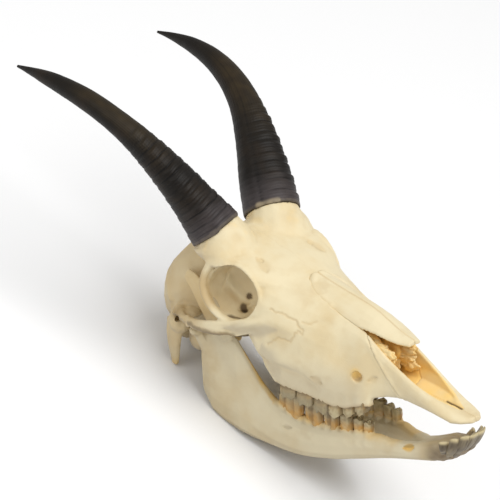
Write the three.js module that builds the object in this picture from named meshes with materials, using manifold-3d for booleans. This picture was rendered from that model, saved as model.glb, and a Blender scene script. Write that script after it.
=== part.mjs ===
// Skull of a mountain goat with its horn sheaths and lower jaw, life size, at rest on a floor.
// Skull frame: x runs forward to the nose, y to the animal's left and z up, in millimetres.
// x = 0 lies at the front of the incisor teeth, z = 0 near the gum line of the upper jaw.
// A paired form gives its distance out from the midline as a positive number and is placed
// by a side of -1 for the right half or +1 for the left.
import * as THREE from "three";
import { mergeVertices } from "three/addons/utils/BufferGeometryUtils.js";
import Module from "manifold-3d";

const wasm = await Module();
wasm.setup();

const SIDES = { right: -1, left: 1 };

// Gap between neighbouring bones, and the depth of the flats that the skull rests on.
const GAP = 0.3;
const FLOOR_FLAT = 0.5;

// A block larger than the skull, for cutting along a plane.
const BLOCK_SIZE = 1000;

// Orbit: an oval ring whose plane leans a little forward and up. The rim is a rounded band,
// thicker behind, where it stands free as the postorbital bar.
const ORBIT_CENTRE = [-181, 48.8, 75.2];
const ORBIT_FORWARD = [0.962, -0.251, -0.103];
const ORBIT_UP = [-0.102, -0.071, 0.992];
const ORBIT_RADIUS = 21;
const ORBIT_HEIGHT_RATIO = 0.95;
const ORBIT_RIM = 2;
const ORBIT_BAR = 1.3;
const ORBIT_RIM_DEPTH = 4;
const ORBIT_STEPS = 24;
const ORBIT_RIM_SIDES = 7;
const ORBIT_HOLLOW = { radius: ORBIT_RADIUS + 0.6, depth: 32, sunk: 2, rows: 10 };
const ORBIT_WALL = { radius: ORBIT_RADIUS + 2.5, depth: 22, sunk: 14, rows: 8 };

// Horn sheath: a curved cone about 205 long. Radius and flattening run along it from base (0) to
// tip (1), and shallow growth rings cross its lower part.
const HORN_PATH = [[-211.6, 29.2, 112.1], [-247.4, 50.1, 171.5], [-272, 75.2, 212.4], [-365.1, 71.1, 222.5]];
const HORN_RADII = [[0, 20.6], [0.15, 17.2], [0.3, 13.9], [0.5, 10.2], [0.7, 8.3], [0.85, 5.9], [1, 1]];
const HORN_FLATTENING = [[0, 0.03], [0.15, 0.11], [0.5, 0.11], [0.8, 0.04], [1, 0]];
const HORN_RINGS = { count: 8, end: 0.46, fade: 0.08, relief: 0.45 };
const HORN_STATIONS = 35;
const HORN_SIDES = 16;

// Bony stub under each sheath, from inside the skull up: place, radius and lean of its rings.
const PEDICLE = [
  { at: [-204, 16, 78], radius: 12, lean: [0, 0, 1] },
  { at: [-203, 22, 92], radius: 23, lean: [0, 0, 1] },
  { at: [-204, 26, 100], radius: 25.5, lean: [0, 0, 1] },
  { at: [-207.5, 28, 106.5], radius: 22.5, lean: [-0.25, 0.15, 0.95] },
];
const PEDICLE_FLATTENING = 0.03;
const PEDICLE_NECK = { scale: 0.95, below: 3 };
const PEDICLE_TOP = 0.93;

// Face: cross-sections of the snout from its tip back to the orbits. A section gives the roof and
// palate heights on the midline and [out, height] of five corners down the side.
const FACE_SECTIONS = [
  { x: -2, roof: 6.5, corners: [[3, 6.5], [4.5, 5.5], [5, 4.7], [4, 3.4], [2, 3.2]], palate: 3.2 },
  { x: -11, roof: 8.5, corners: [[8, 8.7], [11.5, 7.5], [13.5, 5.5], [12.5, 3.4], [8, 3.2]], palate: 4 },
  { x: -24, roof: 13, corners: [[11, 14.5], [14, 12], [15, 9], [13.7, 7], [9, 7]], palate: 8 },
  { x: -40, roof: 20.5, corners: [[14.3, 22.8], [16, 18.5], [15.3, 13.5], [13, 9.8], [9, 9.6]], palate: 11 },
  { x: -57, roof: 31, corners: [[15.8, 33.8], [17.3, 29], [17, 19.5], [15, 13], [10.5, 12.3]], palate: 13.5 },
  { x: -72, roof: 42, corners: [[16.2, 44], [19, 37], [21, 24], [19.5, 12.4], [13, 11.5]], palate: 14 },
  { x: -84, roof: 53, corners: [[15.6, 54], [20, 46], [25.5, 27], [28, 4.6], [17, 7]], palate: 14 },
  { x: -97, roof: 64, corners: [[15.8, 61], [22.5, 50], [28.5, 29], [31, 1.6], [18, 4.5]], palate: 13.5 },
  { x: -112, roof: 72, corners: [[17, 67.5], [28, 54], [33, 35], [33.5, 3.2], [19.5, 6]], palate: 14 },
  { x: -128, roof: 78, corners: [[19.5, 73.5], [34, 58.5], [37, 43], [35, 6.6], [21, 9]], palate: 16 },
  { x: -144, roof: 85, corners: [[25, 79.5], [39.5, 64], [41, 50], [36, 8.5], [22, 11]], palate: 19 },
  { x: -156, roof: 91, corners: [[31, 84], [42.5, 69], [44.5, 51], [35, 10.5], [22, 13]], palate: 22 },
  { x: -166, roof: 95, corners: [[35, 88], [44, 73.5], [45.5, 51], [34, 21], [20, 22]], palate: 24 },
  { x: -174, roof: 98, corners: [[38, 91], [45, 77], [46, 53], [32, 36], [19, 33]], palate: 33 },
];
const FACE_STEPS = 22;
const FACE_CROWDING = 1.15;
const FACE_SAMPLES = 2;
const GUM_CORNER = 3;

// Braincase: squarish rings from between the orbits back to the nuchal crest.
const BRAINCASE_SECTIONS = [
  { x: -150, half: 15, bottom: 26, top: 78 },
  { x: -175, half: 17, bottom: 30, top: 92 },
  { x: -195, half: 21, bottom: 31, top: 103 },
  { x: -212, half: 28, bottom: 30, top: 109 },
  { x: -228, half: 33, bottom: 28, top: 107 },
  { x: -243, half: 35.5, bottom: 26, top: 102 },
  { x: -256, half: 35.5, bottom: 24, top: 93 },
  { x: -266, half: 32.5, bottom: 26, top: 82 },
  { x: -273, half: 26, bottom: 29, top: 74 },
  { x: -278, half: 12, bottom: 38, top: 64 },
];
const BRAINCASE_STEPS = 14;
const BRAINCASE_SIDES = 20;
const BRAINCASE_SQUARENESS = 2.3;

// Forehead: a shallow vault between and over the orbits.
const FOREHEAD_SECTIONS = [
  { x: -146, half: 26, crown: 86, drop: 5, thick: 12 },
  { x: -162, half: 41, crown: 94, drop: 6, thick: 11 },
  { x: -174, half: 46.5, crown: 98.5, drop: 3, thick: 9 },
  { x: -186, half: 50.5, crown: 103.5, drop: 4, thick: 9 },
  { x: -198, half: 52, crown: 107.5, drop: 9, thick: 10 },
  { x: -208, half: 46, crown: 110, drop: 9, thick: 12 },
  { x: -224, half: 28, crown: 108, drop: 8, thick: 12 },
];
const FOREHEAD_STEPS = 11;
const FOREHEAD_SIDES = 24;

// Bars of bone: each station gives its place, half width and half height.
const CHEEKBONE = [
  { at: [-118, 29, 45], wide: 1.5, high: 2 },
  { at: [-132, 35, 50], wide: 2.6, high: 4.5 },
  { at: [-147, 40, 54.5], wide: 3.4, high: 6 },
  { at: [-160, 44, 53.5], wide: 3.6, high: 7 },
  { at: [-174, 48.5, 50], wide: 3.4, high: 7 },
  { at: [-190, 52, 48.5], wide: 3, high: 6 },
  { at: [-206, 52.5, 47], wide: 2.6, high: 5 },
  { at: [-220, 50, 46], wide: 2.4, high: 4 },
  { at: [-236, 45, 47.5], wide: 2.8, high: 3.8 },
  { at: [-250, 34, 46], wide: 5, high: 5 },
];
const PARACONDYLAR_PROCESS = [
  { at: [-252, 36, 38], wide: 4, high: 9 },
  { at: [-256, 35.5, 25], wide: 3.2, high: 7.5 },
  { at: [-257.5, 34, 13], wide: 2.6, high: 5 },
  { at: [-258.5, 33, 4], wide: 2, high: 3 },
];
const PTERYGOID_PLATE = [
  { at: [-140, 14, 22], wide: 3, high: 5 },
  { at: [-160, 13, 20], wide: 2, high: 8 },
  { at: [-180, 12.5, 23], wide: 1.8, high: 8.5 },
  { at: [-198, 11, 31], wide: 1.8, high: 5 },
];
const OCCIPUT = [
  { at: [-255, -31, 37], wide: 7, high: 9 },
  { at: [-267, 0, 40], wide: 9, high: 14 },
  { at: [-255, 31, 37], wide: 7, high: 9 },
];
const BASE_BEAM = [
  { at: [-268, 0, 29], wide: 13, high: 6 },
  { at: [-245, 0, 26], wide: 12, high: 7 },
  { at: [-222, 0, 29], wide: 9, high: 7 },
  { at: [-196, 0, 36], wide: 8, high: 7 },
];

// Rounded lumps of the skull base: centre, radii and a turn about z in degrees.
const JAW_JOINT_SHELF = { centre: [-238, 37, 48], radii: [12, 10, 4.8], turn: 0 };
const EAR_TUBE = { centre: [-250, 34, 38], radii: [9, 8, 10], turn: 0 };
const EAR_CAPSULE = { centre: [-243, 23, 24], radii: [11, 6, 10], turn: 20 };
const NECK_CONDYLE = { centre: [-266, 12.5, 26], radii: [9, 8.5, 10], turn: 0 };
const LUMP_SEGMENTS = [10, 7];

// Nasal bones: reach out from the midline, height there and fall to the outer edge.
const NASAL_SECTIONS = [
  { x: -54, reach: 5.5, crown: 51, fall: 1.5 },
  { x: -60, reach: 8.5, crown: 53, fall: 2.5 },
  { x: -70, reach: 11.8, crown: 57.5, fall: 4 },
  { x: -80, reach: 13.8, crown: 63.5, fall: 6.5 },
  { x: -92, reach: 15.6, crown: 69, fall: 9.5 },
  { x: -105, reach: 16, crown: 73, fall: 9 },
  { x: -120, reach: 15.6, crown: 77.5, fall: 8 },
  { x: -133, reach: 13.5, crown: 81.8, fall: 6 },
  { x: -142, reach: 8, crown: 85, fall: 3 },
];
const NASAL_THICKNESS = 3;
const NASAL_EDGE_THINNING = 0.4;
const NASAL_STEPS = 13;
const NASAL_COLUMNS = 5;
const NASAL_HEADROOM = 20;
const NASAL_OVERLAP = -1;

// Nasal cavity: half width and floor height. It is open above, where the nasal bones roof it.
const CAVITY_SECTIONS = [
  { x: -13, half: 1.5, floor: 8.5 },
  { x: -20, half: 5, floor: 10 },
  { x: -30, half: 9.5, floor: 12.5 },
  { x: -45, half: 12.5, floor: 15 },
  { x: -60, half: 13.8, floor: 17.5 },
  { x: -85, half: 14, floor: 18.5 },
  { x: -105, half: 14, floor: 20 },
  { x: -120, half: 12, floor: 24 },
];
const CAVITY_TOP = 80;
const CAVITY_CORNER = { share: 0.8, low: 2.5, high: 9 };
const CAVITY_STEPS = 14;

// Scrolls of thin bone inside the nose, upper and lower, and the upright wall between the sides.
const TURBINATES = [
  { front: -80, out: 8.5, height: 47.5, wide: 4, high: 4.5 },
  { front: -76, out: 8.5, height: 35, wide: 4.5, high: 7 },
];
const TURBINATE_NOSE = { length: 10, rise: 3, narrowing: 0.65 };
const TURBINATE_BACK = { x: -124, rise: 9 };
const SEPTUM = [
  { at: [-86, 0, 22], wide: 1, high: 8 },
  { at: [-126, 0, 32], wide: 1, high: 16 },
];

// The line that parts the nose-tip bones from the upper jaw slopes up and back to the nasal bones.
const PARTING_FOOT = { x: -50, z: 8 };
const PARTING_HEAD = { x: -84, z: 54 };

// Lower jaw: squarish rings from the chin back to the angle.
const JAW_SECTIONS = [
  { x: -8, inner: -4, outer: 7, bottom: -18.5, top: -13 },
  { x: -13, inner: -5, outer: 10.5, bottom: -23, top: -11.5 },
  { x: -20, inner: -6, outer: 12.5, bottom: -26.5, top: -10 },
  { x: -30, inner: -6, outer: 12, bottom: -30, top: -13 },
  { x: -42, inner: -4, outer: 12.5, bottom: -31.7, top: -17.3 },
  { x: -54, inner: 1.5, outer: 14.5, bottom: -32.6, top: -20.6 },
  { x: -66, inner: 6, outer: 17, bottom: -34, top: -20.4 },
  { x: -80, inner: 9.5, outer: 19.5, bottom: -36.5, top: -17.6 },
  { x: -95, inner: 11.5, outer: 22, bottom: -39.5, top: -18.8 },
  { x: -116, inner: 15, outer: 26, bottom: -43.3, top: -20 },
  { x: -138, inner: 19, outer: 30, bottom: -45, top: -18 },
  { x: -160, inner: 22.5, outer: 33.5, bottom: -43, top: -7 },
  { x: -168, inner: 25, outer: 35, bottom: -41, top: 1 },
  { x: -176, inner: 28.5, outer: 36.5, bottom: -39, top: 13 },
  { x: -184, inner: 31.5, outer: 38.5, bottom: -36.5, top: 28 },
  { x: -190, inner: 33, outer: 39.5, bottom: -34.5, top: 37 },
  { x: -204, inner: 34, outer: 40.5, bottom: -29.4, top: 40 },
  { x: -214, inner: 34.5, outer: 41, bottom: -24.5, top: 38 },
  { x: -220, inner: 35, outer: 40.5, bottom: -19, top: 37 },
  { x: -224.5, inner: 36, outer: 39.5, bottom: -10, top: 34 },
];
const JAW_STEPS = 26;
const JAW_SIDES = 12;
const JAW_SQUARENESS = 2.6;
const CORONOID_BLADE = [
  { at: [-199, 37.5, 34], wide: 2.6, high: 10 },
  { at: [-208, 38.5, 47], wide: 2.4, high: 9 },
  { at: [-217, 38.8, 60], wide: 2, high: 8.5 },
  { at: [-226, 38.5, 72], wide: 1.8, high: 8 },
  { at: [-235, 38, 78], wide: 1.4, high: 5 },
];
const CONDYLE_NECK = [
  { at: [-216, 37.5, 18], wide: 3, high: 7 },
  { at: [-222, 38, 30], wide: 3.6, high: 6 },
  { at: [-226, 38, 37], wide: 6, high: 5 },
];
const JAW_CONDYLE = { centre: [-226, 38, 37.6], radii: [6, 10, 4.8], turn: -12 };

// Cheek teeth from front to back: length along the jaw and number of lobes. The bite line is the
// height where the upper and lower crowns meet.
const UPPER_TEETH = [[9, 1], [10, 1], [11, 1], [13.5, 2], [15, 2], [16, 2]];
const LOWER_TEETH = [[7, 1], [9, 1], [11, 1], [13, 2], [15.5, 2], [22, 3]];
const UPPER_ROW_FRONT = -76;
const LOWER_ROW_FRONT = -82;
const UPPER_TOOTH_WIDTH = 13;
const UPPER_PREMOLAR = { length: 12, narrowing: 0.75 };
const LOWER_TOOTH_WIDTH = 8;
const LOWER_TOOTH_INSET = 0.8;
const LOWER_GUM_SINK = 1;
const TOOTH_ROOT = 6;
const TOOTH_SIDES = 6;
const TOOTH_SHOULDER = 0.35;
const BITE_LINE = [[-76, -5.5], [-91, -8.2], [-104, -9.2], [-124, -6.2], [-140, -3.4], [-165, 0.5]];
const BITE_CLEARANCE = { upper: 1.5, lower: 0.6 };
const BITE_SLOPE = { upper: 3, lower: 1 };

// Incisors from the middle out: foot, tip and crown width.
const INCISORS = [
  { foot: [-13, 2.9, -15.5], tip: [0, 3.6, -3.5], width: 6.8 },
  { foot: [-14, 7.2, -15.5], tip: [-2.4, 9.6, -4], width: 6.6 },
  { foot: [-17, 10, -16], tip: [-8, 13.8, -6], width: 6.2 },
  { foot: [-21, 11.5, -16.5], tip: [-17, 16, -9.5], width: 5.8 },
];
const INCISOR_THICKNESS = 3.2;
const INCISOR_FAN = 0.12;
const INCISOR_SIDES = 6;

// Holes for nerves, vessels, ear and spine: both ends and the radius of a slanted bore.
const CHEEK_HOLE = { from: [-80, 31, 24], to: [-92, 18, 27], radius: 3.4 };
const BROW_HOLE = { from: [-170, 26, 100], to: [-174, 26, 90], radius: 2.6 };
const EAR_HOLE = { from: [-240, 50, 46], to: [-250, 34, 41], radius: 3 };
const SPINE_HOLE = { from: [-290, 0, 31], to: [-264, 0, 37], radius: 8 };

const LOOKS = {
  bone: { color: 0xd9cdb4, roughness: 0.75, metalness: 0 },
  jaw: { color: 0xd2c9b6, roughness: 0.72, metalness: 0 },
  horn: { color: 0x2b2521, roughness: 0.5, metalness: 0 },
};

const range = (count) => [...Array(count).keys()];
const spread = (from, to, count) => range(count).map((i) => from + ((to - from) * i) / (count - 1));
const place = (point, side) => new THREE.Vector3(point[0], point[1] * side, point[2]);
const turnAt = (step, steps) => (2 * Math.PI * step) / steps;

// A smooth value through [place, value] knots, without overshoot and level past both ends.
function smooth(knots) {
  const rows = [...knots].sort((a, b) => a[0] - b[0]);
  const last = rows.length - 1;
  const rise = (i) => (rows[i + 1][1] - rows[i][1]) / (rows[i + 1][0] - rows[i][0]);
  const slope = rows.map((_, i) => {
    if (i === 0) return rise(0);
    if (i === last) return rise(last - 1);
    const product = rise(i - 1) * rise(i);
    return product <= 0 ? 0 : (2 * product) / (rise(i - 1) + rise(i));
  });
  return (at) => {
    if (at <= rows[0][0]) return rows[0][1];
    if (at >= rows[last][0]) return rows[last][1];
    const i = rows.findIndex((row) => row[0] > at) - 1;
    const h = rows[i + 1][0] - rows[i][0];
    const t = (at - rows[i][0]) / h;
    const ease = t * t * (3 - 2 * t);
    const bend = h * (slope[i] * t * (1 - t) * (1 - t) - slope[i + 1] * t * t * (1 - t));
    return rows[i][1] + (rows[i + 1][1] - rows[i][1]) * ease + bend;
  };
}

// The named value of a list of sections, as a smooth function of x.
const valueAlong = (sections, name) => smooth(sections.map((section) => [section.x, section[name]]));
const stationsOf = (sections, count) => spread(sections[0].x, sections.at(-1).x, count);

// Turns a surface inside out if its faces point in.
function facingOut(geometry) {
  const p = geometry.getAttribute("position");
  const index = geometry.getIndex().array;
  const [a, b, c] = [new THREE.Vector3(), new THREE.Vector3(), new THREE.Vector3()];
  let volume = 0;
  for (let i = 0; i < index.length; i += 3) {
    a.fromBufferAttribute(p, index[i]);
    b.fromBufferAttribute(p, index[i + 1]);
    c.fromBufferAttribute(p, index[i + 2]);
    volume += a.dot(b.cross(c));
  }
  if (volume < 0) {
    for (let i = 0; i < index.length; i += 3) {
      [index[i], index[i + 1]] = [index[i + 1], index[i]];
    }
  }
  return geometry;
}

function surface(points, index) {
  const geometry = new THREE.BufferGeometry().setFromPoints(points);
  geometry.setIndex(index);
  return facingOut(geometry);
}

// Two triangles for each step between neighbouring rings of equal count.
function bandIndex(first, second, count) {
  return range(count).flatMap((j) => {
    const next = (j + 1) % count;
    return [first + j, first + next, second + next, first + j, second + next, second + j];
  });
}

// A closed surface over a row of rings, with a fan over each end.
function loft(rings) {
  const count = rings[0].length;
  const points = rings.flat();
  const index = [];
  for (let i = 0; i + 1 < rings.length; i++) {
    index.push(...bandIndex(i * count, (i + 1) * count, count));
  }
  for (const first of [0, (rings.length - 1) * count]) {
    const middle = new THREE.Vector3();
    points.slice(first, first + count).forEach((point) => middle.addScaledVector(point, 1 / count));
    const hub = points.push(middle) - 1;
    for (let j = 0; j < count; j++) {
      const edge = [first + j, first + ((j + 1) % count)];
      index.push(...(first === 0 ? [edge[1], edge[0], hub] : [edge[0], edge[1], hub]));
    }
  }
  return surface(points, index);
}

// A bar along a smooth path through stations, with rounded ends.
function bar(stations, side, { steps, sides, up = [0, 0, 1] }) {
  const [endScale, endShift] = [0.6, 0.6];
  const path = new THREE.CatmullRomCurve3(stations.map((station) => place(station.at, side)), false, "centripetal");
  const size = (name) => smooth(stations.map((station, i) => [i / (stations.length - 1), station[name]]));
  const [wide, high] = [size("wide"), size("high")];
  const ringAt = (t, scale, shift) => {
    const ahead = path.getTangent(t);
    const across = new THREE.Vector3().crossVectors(place(up, side), ahead).normalize();
    const raised = new THREE.Vector3().crossVectors(ahead, across);
    const middle = path.getPoint(t).addScaledVector(ahead, shift * Math.min(wide(t), high(t)));
    return range(sides).map((j) => middle.clone()
      .addScaledVector(across, Math.cos(turnAt(j, sides)) * wide(t) * scale)
      .addScaledVector(raised, Math.sin(turnAt(j, sides)) * high(t) * scale));
  };
  const rings = spread(0, 1, steps).map((t) => ringAt(t, 1, 0));
  return loft([ringAt(0, endScale, -endShift), ...rings, ringAt(1, endScale, endShift)]);
}

const bore = ({ from, to, radius }, side) => bar([
  { at: from, wide: radius, high: radius },
  { at: to, wide: radius, high: radius },
], side, { steps: 3, sides: 8 });

function lump({ centre, radii, turn }, side) {
  const geometry = new THREE.SphereGeometry(1, ...LUMP_SEGMENTS);
  geometry.scale(...radii);
  geometry.rotateZ(THREE.MathUtils.degToRad(turn * side));
  return geometry.translate(centre[0], centre[1] * side, centre[2]);
}

// A ring in a plane of constant x, squarer than an ellipse, from its limits.
function blockRing({ x, inner, outer, bottom, top }, side, count, squareness) {
  const bulge = (value) => Math.sign(value) * Math.abs(value) ** (2 / squareness);
  return range(count).map((j) => {
    const out = (inner + outer) / 2 + ((outer - inner) / 2) * bulge(Math.cos(turnAt(j, count)));
    const height = (bottom + top) / 2 + ((top - bottom) / 2) * bulge(Math.sin(turnAt(j, count)));
    return place([x, out, height], side);
  });
}

// Solids for joining and cutting.
function solid(geometry) {
  const bare = geometry.clone();
  bare.deleteAttribute("normal");
  bare.deleteAttribute("uv");
  const merged = mergeVertices(bare, 1e-4);
  const vertProperties = new Float32Array(merged.getAttribute("position").array);
  const triVerts = new Uint32Array(merged.getIndex().array);
  return new wasm.Manifold(new wasm.Mesh({ numProp: 3, vertProperties, triVerts }));
}
const join = (geometries) => geometries.map(solid).reduce((whole, piece) => whole.add(piece));
const cut = (whole, geometries) => geometries.map(solid).reduce((rest, piece) => rest.subtract(piece), whole);
const largest = (whole) => whole.decompose().reduce((a, b) => (b.volume() > a.volume() ? b : a));

// Everything on one side of the midline, from a distance out.
const halfSpace = (side, from) => new THREE.BoxGeometry(BLOCK_SIZE, BLOCK_SIZE, BLOCK_SIZE)
  .translate(0, side * (from + BLOCK_SIZE / 2), 0);

function faceRing(x) {
  const value = (pick) => smooth(FACE_SECTIONS.map((section) => [section.x, pick(section)]))(x);
  const corners = FACE_SECTIONS[0].corners.map((_, k) => [
    x,
    value((section) => section.corners[k][0]),
    value((section) => section.corners[k][1]),
  ]);
  const ring = new THREE.CatmullRomCurve3([
    new THREE.Vector3(x, 0, value((section) => section.roof)),
    ...corners.map((corner) => place(corner, SIDES.right)),
    new THREE.Vector3(x, 0, value((section) => section.palate)),
    ...corners.map((corner) => place(corner, SIDES.left)).reverse(),
  ], true, "centripetal");
  return ring.getPoints(ring.points.length * FACE_SAMPLES).slice(0, -1);
}

function faceBody() {
  const [front, back] = [FACE_SECTIONS[0].x, FACE_SECTIONS.at(-1).x];
  const stations = spread(0, 1, FACE_STEPS).map((t) => front + (back - front) * t ** FACE_CROWDING);
  return loft(stations.map(faceRing));
}

function braincase() {
  const [half, bottom, top] = ["half", "bottom", "top"].map((name) => valueAlong(BRAINCASE_SECTIONS, name));
  const ringAt = (x) => blockRing(
    { x, inner: -half(x), outer: half(x), bottom: bottom(x), top: top(x) },
    1, BRAINCASE_SIDES, BRAINCASE_SQUARENESS,
  );
  return loft(stationsOf(BRAINCASE_SECTIONS, BRAINCASE_STEPS).map(ringAt));
}

function forehead() {
  const [half, crown, drop, thick] = ["half", "crown", "drop", "thick"]
    .map((name) => valueAlong(FOREHEAD_SECTIONS, name));
  const ringAt = (x) => range(FOREHEAD_SIDES).map((j) => {
    const [across, level] = [Math.cos(turnAt(j, FOREHEAD_SIDES)), Math.sin(turnAt(j, FOREHEAD_SIDES))];
    const flat = Math.sign(level) * Math.sqrt(Math.abs(level));
    const height = crown(x) - drop(x) * across ** 2 - (thick(x) / 2) * (1 - flat);
    return new THREE.Vector3(x, half(x) * across, height);
  });
  return loft(stationsOf(FOREHEAD_SECTIONS, FOREHEAD_STEPS).map(ringAt));
}

function orbitFrame(side) {
  const forward = place(ORBIT_FORWARD, side).normalize();
  const upward = place(ORBIT_UP, side).normalize();
  const outward = new THREE.Vector3().crossVectors(forward, upward).normalize();
  if (outward.y * side < 0) outward.negate();
  return { centre: place(ORBIT_CENTRE, side), forward, upward, outward };
}

function orbitRim(side) {
  const { centre, forward, upward, outward } = orbitFrame(side);
  const points = [];
  const index = [];
  for (let i = 0; i < ORBIT_STEPS; i++) {
    const [ahead, rise] = [Math.cos(turnAt(i, ORBIT_STEPS)), Math.sin(turnAt(i, ORBIT_STEPS))];
    const radial = forward.clone().multiplyScalar(ahead).addScaledVector(upward, rise);
    const half = ORBIT_RIM + ORBIT_BAR * Math.max(0, -ahead);
    const radius = ORBIT_RADIUS * (1 - (1 - ORBIT_HEIGHT_RATIO) * rise ** 2) + half;
    const middle = centre.clone().addScaledVector(radial, radius).addScaledVector(outward, -ORBIT_RIM_DEPTH);
    for (let j = 0; j < ORBIT_RIM_SIDES; j++) {
      const roll = turnAt(j, ORBIT_RIM_SIDES);
      points.push(middle.clone()
        .addScaledVector(radial, half * Math.cos(roll))
        .addScaledVector(outward, ORBIT_RIM_DEPTH * Math.sin(roll)));
    }
    index.push(...bandIndex(i * ORBIT_RIM_SIDES, ((i + 1) % ORBIT_STEPS) * ORBIT_RIM_SIDES, ORBIT_RIM_SIDES));
  }
  return surface(points, index);
}

// An ellipsoid set square to the orbit, sunk inward from its plane, its pole along the way out.
function orbitLump({ radius, depth, sunk, rows }, side) {
  const { centre, forward, outward } = orbitFrame(side);
  const geometry = new THREE.SphereGeometry(1, ORBIT_STEPS, rows);
  geometry.scale(radius, depth, radius * ORBIT_HEIGHT_RATIO);
  const third = new THREE.Vector3().crossVectors(forward, outward);
  geometry.applyMatrix4(new THREE.Matrix4().makeBasis(forward, outward, third));
  const middle = centre.clone().addScaledVector(outward, -sunk);
  return geometry.translate(middle.x, middle.y, middle.z);
}

const skullBase = (side) => [
  bar(CHEEKBONE, side, { steps: 16, sides: 8 }),
  bar(PARACONDYLAR_PROCESS, side, { steps: 5, sides: 8, up: [1, 0, 0] }),
  bar(PTERYGOID_PLATE, side, { steps: 6, sides: 6 }),
  ...[JAW_JOINT_SHELF, EAR_TUBE, EAR_CAPSULE, NECK_CONDYLE].map((shape) => lump(shape, side)),
];

// Horn sections: an oval square to a direction, its long axis pointing forward and outward.
function ovalRing(middle, ahead, radius, flattening, side) {
  const long = new THREE.Vector3(1, side, 0).normalize();
  long.addScaledVector(ahead, -long.dot(ahead)).normalize();
  const short = new THREE.Vector3().crossVectors(ahead, long);
  return range(HORN_SIDES).map((j) => middle.clone()
    .addScaledVector(long, Math.cos(turnAt(j, HORN_SIDES)) * radius * (1 + flattening))
    .addScaledVector(short, Math.sin(turnAt(j, HORN_SIDES)) * radius * (1 - flattening)));
}

const hornRadius = smooth(HORN_RADII);
const hornFlattening = smooth(HORN_FLATTENING);

function hornRing(side, t, scale, lift = 0) {
  const path = new THREE.CubicBezierCurve3(...HORN_PATH.map((point) => place(point, side)));
  const ahead = path.getTangent(t);
  const middle = path.getPoint(t).addScaledVector(ahead, lift);
  return ovalRing(middle, ahead, hornRadius(t) * scale, hornFlattening(t), side);
}

function pedicle(side) {
  const rings = PEDICLE.map(({ at, radius, lean }) => (
    ovalRing(place(at, side), place(lean, side).normalize(), radius, PEDICLE_FLATTENING, side)
  ));
  return loft([
    ...rings,
    hornRing(side, 0, PEDICLE_NECK.scale, -PEDICLE_NECK.below),
    hornRing(side, 0, PEDICLE_TOP, -GAP),
  ]);
}

function horn(side) {
  const crowding = 1.12;
  const rim = { scale: 0.97, height: 0.8 };
  const swell = (t) => {
    if (t > HORN_RINGS.end) return 0;
    const fade = Math.min(1, (HORN_RINGS.end - t) / HORN_RINGS.fade);
    return HORN_RINGS.relief * fade * Math.sin(turnAt(HORN_RINGS.count * t, HORN_RINGS.end));
  };
  const stations = spread(0, 1, HORN_STATIONS).map((t) => t ** crowding).slice(1);
  const rings = stations.map((t) => hornRing(side, t, 1 + swell(t) / hornRadius(t)));
  return solid(loft([hornRing(side, 0, rim.scale), hornRing(side, 0, 1, rim.height), ...rings]));
}

// One nasal bone as a curved plate, or a larger blank that cuts its seat in the bones around it.
function nasalPlate(side, inner, grow, headroom) {
  const [reach, crown, fall] = ["reach", "crown", "fall"].map((name) => valueAlong(NASAL_SECTIONS, name));
  const ringAt = (x) => {
    const edge = reach(x) + grow;
    const outs = spread(inner, edge, NASAL_COLUMNS);
    const height = (out) => crown(x) - fall(x) * (out / edge) ** 2;
    const thickness = (out) => NASAL_THICKNESS * (1 - NASAL_EDGE_THINNING * (out / edge) ** 3) + grow;
    const upper = outs.map((out) => place([x, out, height(out) + headroom], side));
    const lower = outs.map((out) => place([x, out, height(out) - thickness(out)], side));
    return [...upper, ...lower.reverse()];
  };
  const [front, back] = [NASAL_SECTIONS[0].x + grow, NASAL_SECTIONS.at(-1).x - grow];
  return loft(spread(front, back, NASAL_STEPS).map(ringAt));
}
const nasalBone = (side) => nasalPlate(side, GAP / 2, 0, 0);
const nasalSeat = (side) => nasalPlate(side, NASAL_OVERLAP, GAP, NASAL_HEADROOM);

function nasalCavity() {
  const [half, floor] = ["half", "floor"].map((name) => valueAlong(CAVITY_SECTIONS, name));
  const { share, low, high } = CAVITY_CORNER;
  const ringAt = (x) => [
    [-1, CAVITY_TOP], [-1, floor(x) + high], [-share, floor(x) + low], [0, floor(x)],
    [share, floor(x) + low], [1, floor(x) + high], [1, CAVITY_TOP],
  ].map(([out, height]) => new THREE.Vector3(x, out * half(x), height));
  return loft(stationsOf(CAVITY_SECTIONS, CAVITY_STEPS).map(ringAt));
}

const turbinate = ({ front, out, height, wide, high }, side) => bar([
  { at: [front, out, height], wide: wide * TURBINATE_NOSE.narrowing, high: high * TURBINATE_NOSE.narrowing },
  { at: [front - TURBINATE_NOSE.length, out, height + TURBINATE_NOSE.rise], wide, high },
  { at: [TURBINATE_BACK.x, out, height + TURBINATE_BACK.rise], wide, high },
], side, { steps: 5, sides: 6 });

// Everything in front of the parting plane, moved along x by a shift.
function partingBlock(shift) {
  const lean = Math.atan2(PARTING_FOOT.x - PARTING_HEAD.x, PARTING_HEAD.z - PARTING_FOOT.z);
  return new THREE.BoxGeometry(BLOCK_SIZE, BLOCK_SIZE, BLOCK_SIZE)
    .translate(BLOCK_SIZE / 2 + shift, 0, 0)
    .rotateY(-lean)
    .translate(PARTING_FOOT.x, 0, PARTING_FOOT.z);
}

// One lobe of a cheek tooth: a column drawn to an edge at the bite, which slopes across the row.
function toothLobe({ x, out, length, width, root, gum, crown, slope }, side) {
  const square = (value) => Math.sign(value) * Math.abs(value) ** 0.7;
  const ringAt = (height, long, broad, tilt) => range(TOOTH_SIDES).map((j) => {
    const turn = turnAt(j + 0.5, TOOTH_SIDES);
    const shift = (width / 2) * broad * square(Math.sin(turn));
    return place([
      x + (length / 2) * long * square(Math.cos(turn)),
      out + shift,
      height - (tilt * shift) / width,
    ], side);
  });
  return loft([
    ringAt(root, 0.9, 0.8, 0),
    ringAt(gum, 0.96, 0.95, 0),
    ringAt(crown + (gum - crown) * TOOTH_SHOULDER, 0.96, 1, slope),
    ringAt(crown, 0.5, 0.8, slope),
  ]);
}

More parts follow.
